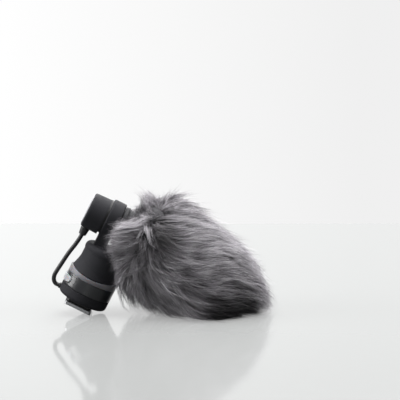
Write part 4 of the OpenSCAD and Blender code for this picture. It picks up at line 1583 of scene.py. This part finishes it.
    def build_cuff(self) -> None:
        """Turns the knitted cuff: its outside follows the hem's step, and falls between its ribs."""
        hem_r = self.cuff_r + self.cuff_t + self.hem_t
        out_r = self.cuff_r + self.cuff_t
        in_r = self.cuff_r + self.cuff_gap
        start, hem, end = self.cuff_u, self.cuff_u + self.hem_l, self.cuff_u + self.cuff_l
        corner, (back, down) = self.hem_corner, self.end_corner
        profile = eased(np.array([
            (start, in_r), (start, hem_r - corner), (start + corner, hem_r), (hem - corner, hem_r),
            (hem, out_r), (end - back, out_r), (end, out_r - down), (end, in_r)]), 5)
        profile[:, 1] = profile[:, 1].clip(in_r, hem_r)
        steps = self.ribs * 6
        outer = smooth(*(self.cuff_r + height for height in self.rib_start), profile[:, 1])[:, None]
        sink = self.rib_h * outer * (0.5 - 0.5 * np.cos(self.ribs * around(steps)))
        shaped = np.stack([np.repeat(profile[:, :1], steps, 1), profile[:, 1:] - sink], axis=-1)
        girth = 2 * math.pi * out_r
        across = np.linspace(0, girth, steps, endpoint=False)
        cloth = np.stack(np.meshgrid(across, walk(profile)), axis=-1)
        piece = surface("cuff", turned(shaped, steps), (True, True), cloth)
        seat(piece, "windscreen", CUFF_KNIT, "backing", "cuff_band")

    def build_elastic(self) -> None:
        """Carries the elastic's round section along a hoop inside the hem."""
        middle = self.cuff_r + (self.cuff_t + self.hem_t) / 2
        path = about_barrel(np.array(self.cuff_u + self.hem_l / 2), middle, around(120))
        piece = surface("elastic", tube(path, self.elastic_r, MIC.axes[0], 12, True), (True, True))
        seat(piece, "windscreen", ELASTIC, "elastic", "cuff_elastic")

    def build_stitching(self) -> None:
        """Carries a thread round the hem as a zigzag that dips into the knit at each turn."""
        angle = around(self.stitches * 8)
        u = self.cuff_u + self.hem_l - self.stitch_edge + self.stitch_w * np.sin(self.stitches * angle)
        r = self.cuff_r + self.cuff_t + self.hem_t + self.stitch_in * np.cos(2 * self.stitches * angle)
        path = about_barrel(u, r, angle)
        piece = surface("hem_stitching", tube(path, self.thread_r, MIC.axes[0], 6, True), (True, True))
        seat(piece, "windscreen", THREAD, "elastic")


@dataclass
class Isolator:
    """The rubber isolator between the base and the neck: a saddle-topped pad and a lip up the neck's front.

    Attributes:
        radius: radius of the pad.
        deck: height of the base's deck.
        saddle: place (u, v) of the saddle's axis.
        saddle_r: radius of the saddle.
        gap: gap between the pad and the neck.
        edge: rounding of its rim.
        bend: heights over the deck, worked out in build but not used; the pad does not bend.
        lip_u: where the neck that the lip follows stands.
        lip_r: inner radius of the lip.
        lip_t: thickness of the lip.
        lip_low: height where the lip starts.
        lip_h: height of the lip.
        lip_half: half angle of the lip.
        lip_fade: share of that angle over which the lip's section opens.
        lip_foot: chamfer at the lip's foot, inwards and upwards.
        lip_top: chamfer at its top, inwards and downwards.
    """

    radius: float = 16.5
    deck: float = 20.0
    saddle: Pair = (-1.5, 78.5)
    saddle_r: float = 56.0
    gap: float = 0.02
    edge: float = 0.35
    bend: Span = (0.3, 2.4)
    lip_u: float = 1.2
    lip_r: float = 14.9
    lip_t: float = 1.25
    lip_low: float = 22.5
    lip_h: float = 6.9
    lip_half: float = 26.0
    lip_fade: float = 0.12
    lip_foot: Pair = (0.9, 1.8)
    lip_top: Pair = (0.5, 0.8)

    def build(self) -> None:
        """Makes the pad between the neck and the base, and the lip, which rides on the neck."""
        pad = surface("isolator_pad", self.pad(), (False, True))
        dress(pad, SILICONE)
        low, high = (MIC.place(np.array((0, 0, self.deck + rise))) * MM for rise in self.bend)
        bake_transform(pad)
        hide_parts("isolator")
        LOG.info("isolator_pad: %d faces, between base and microphone", len(pad.data.polygons))
        lip = surface("isolator_lip", self.lip(), (True, False))
        seat(lip, "microphone", SILICONE, "isolator_rubber", "isolator")

    def pad(self) -> Array:
        """Runs a profile round the pad's axis: flat below, a rim with rounded edges, and the saddle above.

        At each angle the top's height comes from the saddle, a cylinder lying across, at that point's u.

        Returns:
            Grid of points, from the bottom's middle round the rim to the top's middle.
        """
        angle = around(144)
        turn = np.linspace(0, math.pi / 2, 5)
        inward = self.edge * (1 - np.sin(turn))
        ramp = np.linspace(0, self.radius - self.edge, 14)
        out = np.concatenate([ramp, self.radius - inward, self.radius - inward[::-1], ramp[::-1]])
        bottom = np.concatenate([np.zeros(len(ramp)), self.edge * (1 - np.cos(turn))])
        r = out[:, None] * np.ones_like(angle)
        u, y = r * np.cos(angle), r * np.sin(angle)
        top = self.saddle[1] - np.sqrt(self.saddle_r ** 2 - (u - self.saddle[0]) ** 2) - self.gap
        half = len(bottom)
        v = np.concatenate([self.deck + bottom[:, None] + 0 * u[:half], top[half:] - bottom[::-1, None]])
        return MIC.place(np.stack([u, y, v], axis=-1))

    def lip(self) -> Array:
        """Carries the lip's section along an arc round the neck's front, closing to a line at both ends.

        Returns:
            Grid of points, the section's points by the arc's steps.
        """
        share = np.linspace(-1, 1, 40)
        angle = np.radians(self.lip_half) * share
        inner, outer = self.lip_r, self.lip_r + self.lip_t
        low, high = self.lip_low, self.lip_low + self.lip_h
        foot, top = self.lip_foot, self.lip_top
        section = eased(np.array([
            (inner, low), (outer - foot[0], low), (outer, low + foot[1]), (outer, high - top[1]),
            (outer - top[0], high), (inner, high)]), 5)
        section[:, 0] = section[:, 0].clip(inner, outer)
        fade = smooth(0, self.lip_fade, 1 - np.abs(share))
        r = inner + (section[:, :1] - inner) * fade
        v = low + (section[:, 1:] - low) * fade
        u, y = self.lip_u + r * np.cos(angle), r * np.sin(angle)
        return MIC.place(np.stack([u, y, v + 0 * angle], axis=-1))


@dataclass
class RigidParts:
    """The pieces that keep their own shape, and the finish of each.

    Attributes:
        finishes: each finish and the frame nodes that it dresses.
    """

    finishes: tuple[tuple[Finish, tuple[str, ...]], ...]

    def build(self) -> None:
        """Dresses every node."""
        for finish, nodes in self.finishes:
            for node in nodes:
                dress(frame["nodes"][node], finish)
            LOG.info("%s: %s", finish.name, ", ".join(nodes))


HEAD_PARTS = RigidParts((
    (ANODISED, ("barrel_tube",)),
    (POWDER_COAT, ("front_grille",)),
    (MESH_CLOTH, ("acoustic_sleeve",)),
    (NICKEL, ("capsule",)),
    (RUBBER, ("capsule_holder",)),
    (SOLDER_MASK, ("preamp_board",)),
    (MATT_ABS, ("arm", "rear_housing", "neck", "neck_cap")),
    (JOINT_ABS, ("joint_ring",)),
    (SATIN_PAINT, ("rear_cap",)),
    (SOFT_PVC, ("cable_boot",)),
    (ZINC_STEEL, ("arm_screws",)),
))
BASE_PARTS = RigidParts((
    (SMOKED_PC, ("base_upper_shell", "rear_panel")),
    (MATT_ABS, ("base_lower_shell",)),
    (SOLDER_MASK, ("base_board",)),
    (NYLON, ("tact_switch", "output_jack")),
    (NICKEL, ("jack_nut",)),
    (SOFT_PVC, ("cable_gland",)),
    (ACETAL, ("shoe_spacer",)),
    (BRUSHED_ALUMINIUM, ("shoe_foot",)),
    (ZINC_STEEL, ("shoe_screws", "base_screws")),
    (PALE_ABS, ("function_button",)),
))


def main() -> None:
    """Builds the camera, the cable, the soft pieces, the finishes and the studio, in that order."""
    logging.basicConfig(level=logging.INFO, format="%(message)s")
    camera = PhotoCamera()
    camera.build()
    LinkCable().build()
    Isolator().build()
    Windscreen().build()
    HEAD_PARTS.build()
    BASE_PARTS.build()
    Studio(camera).build()


if __name__ == "__main__":
    main()
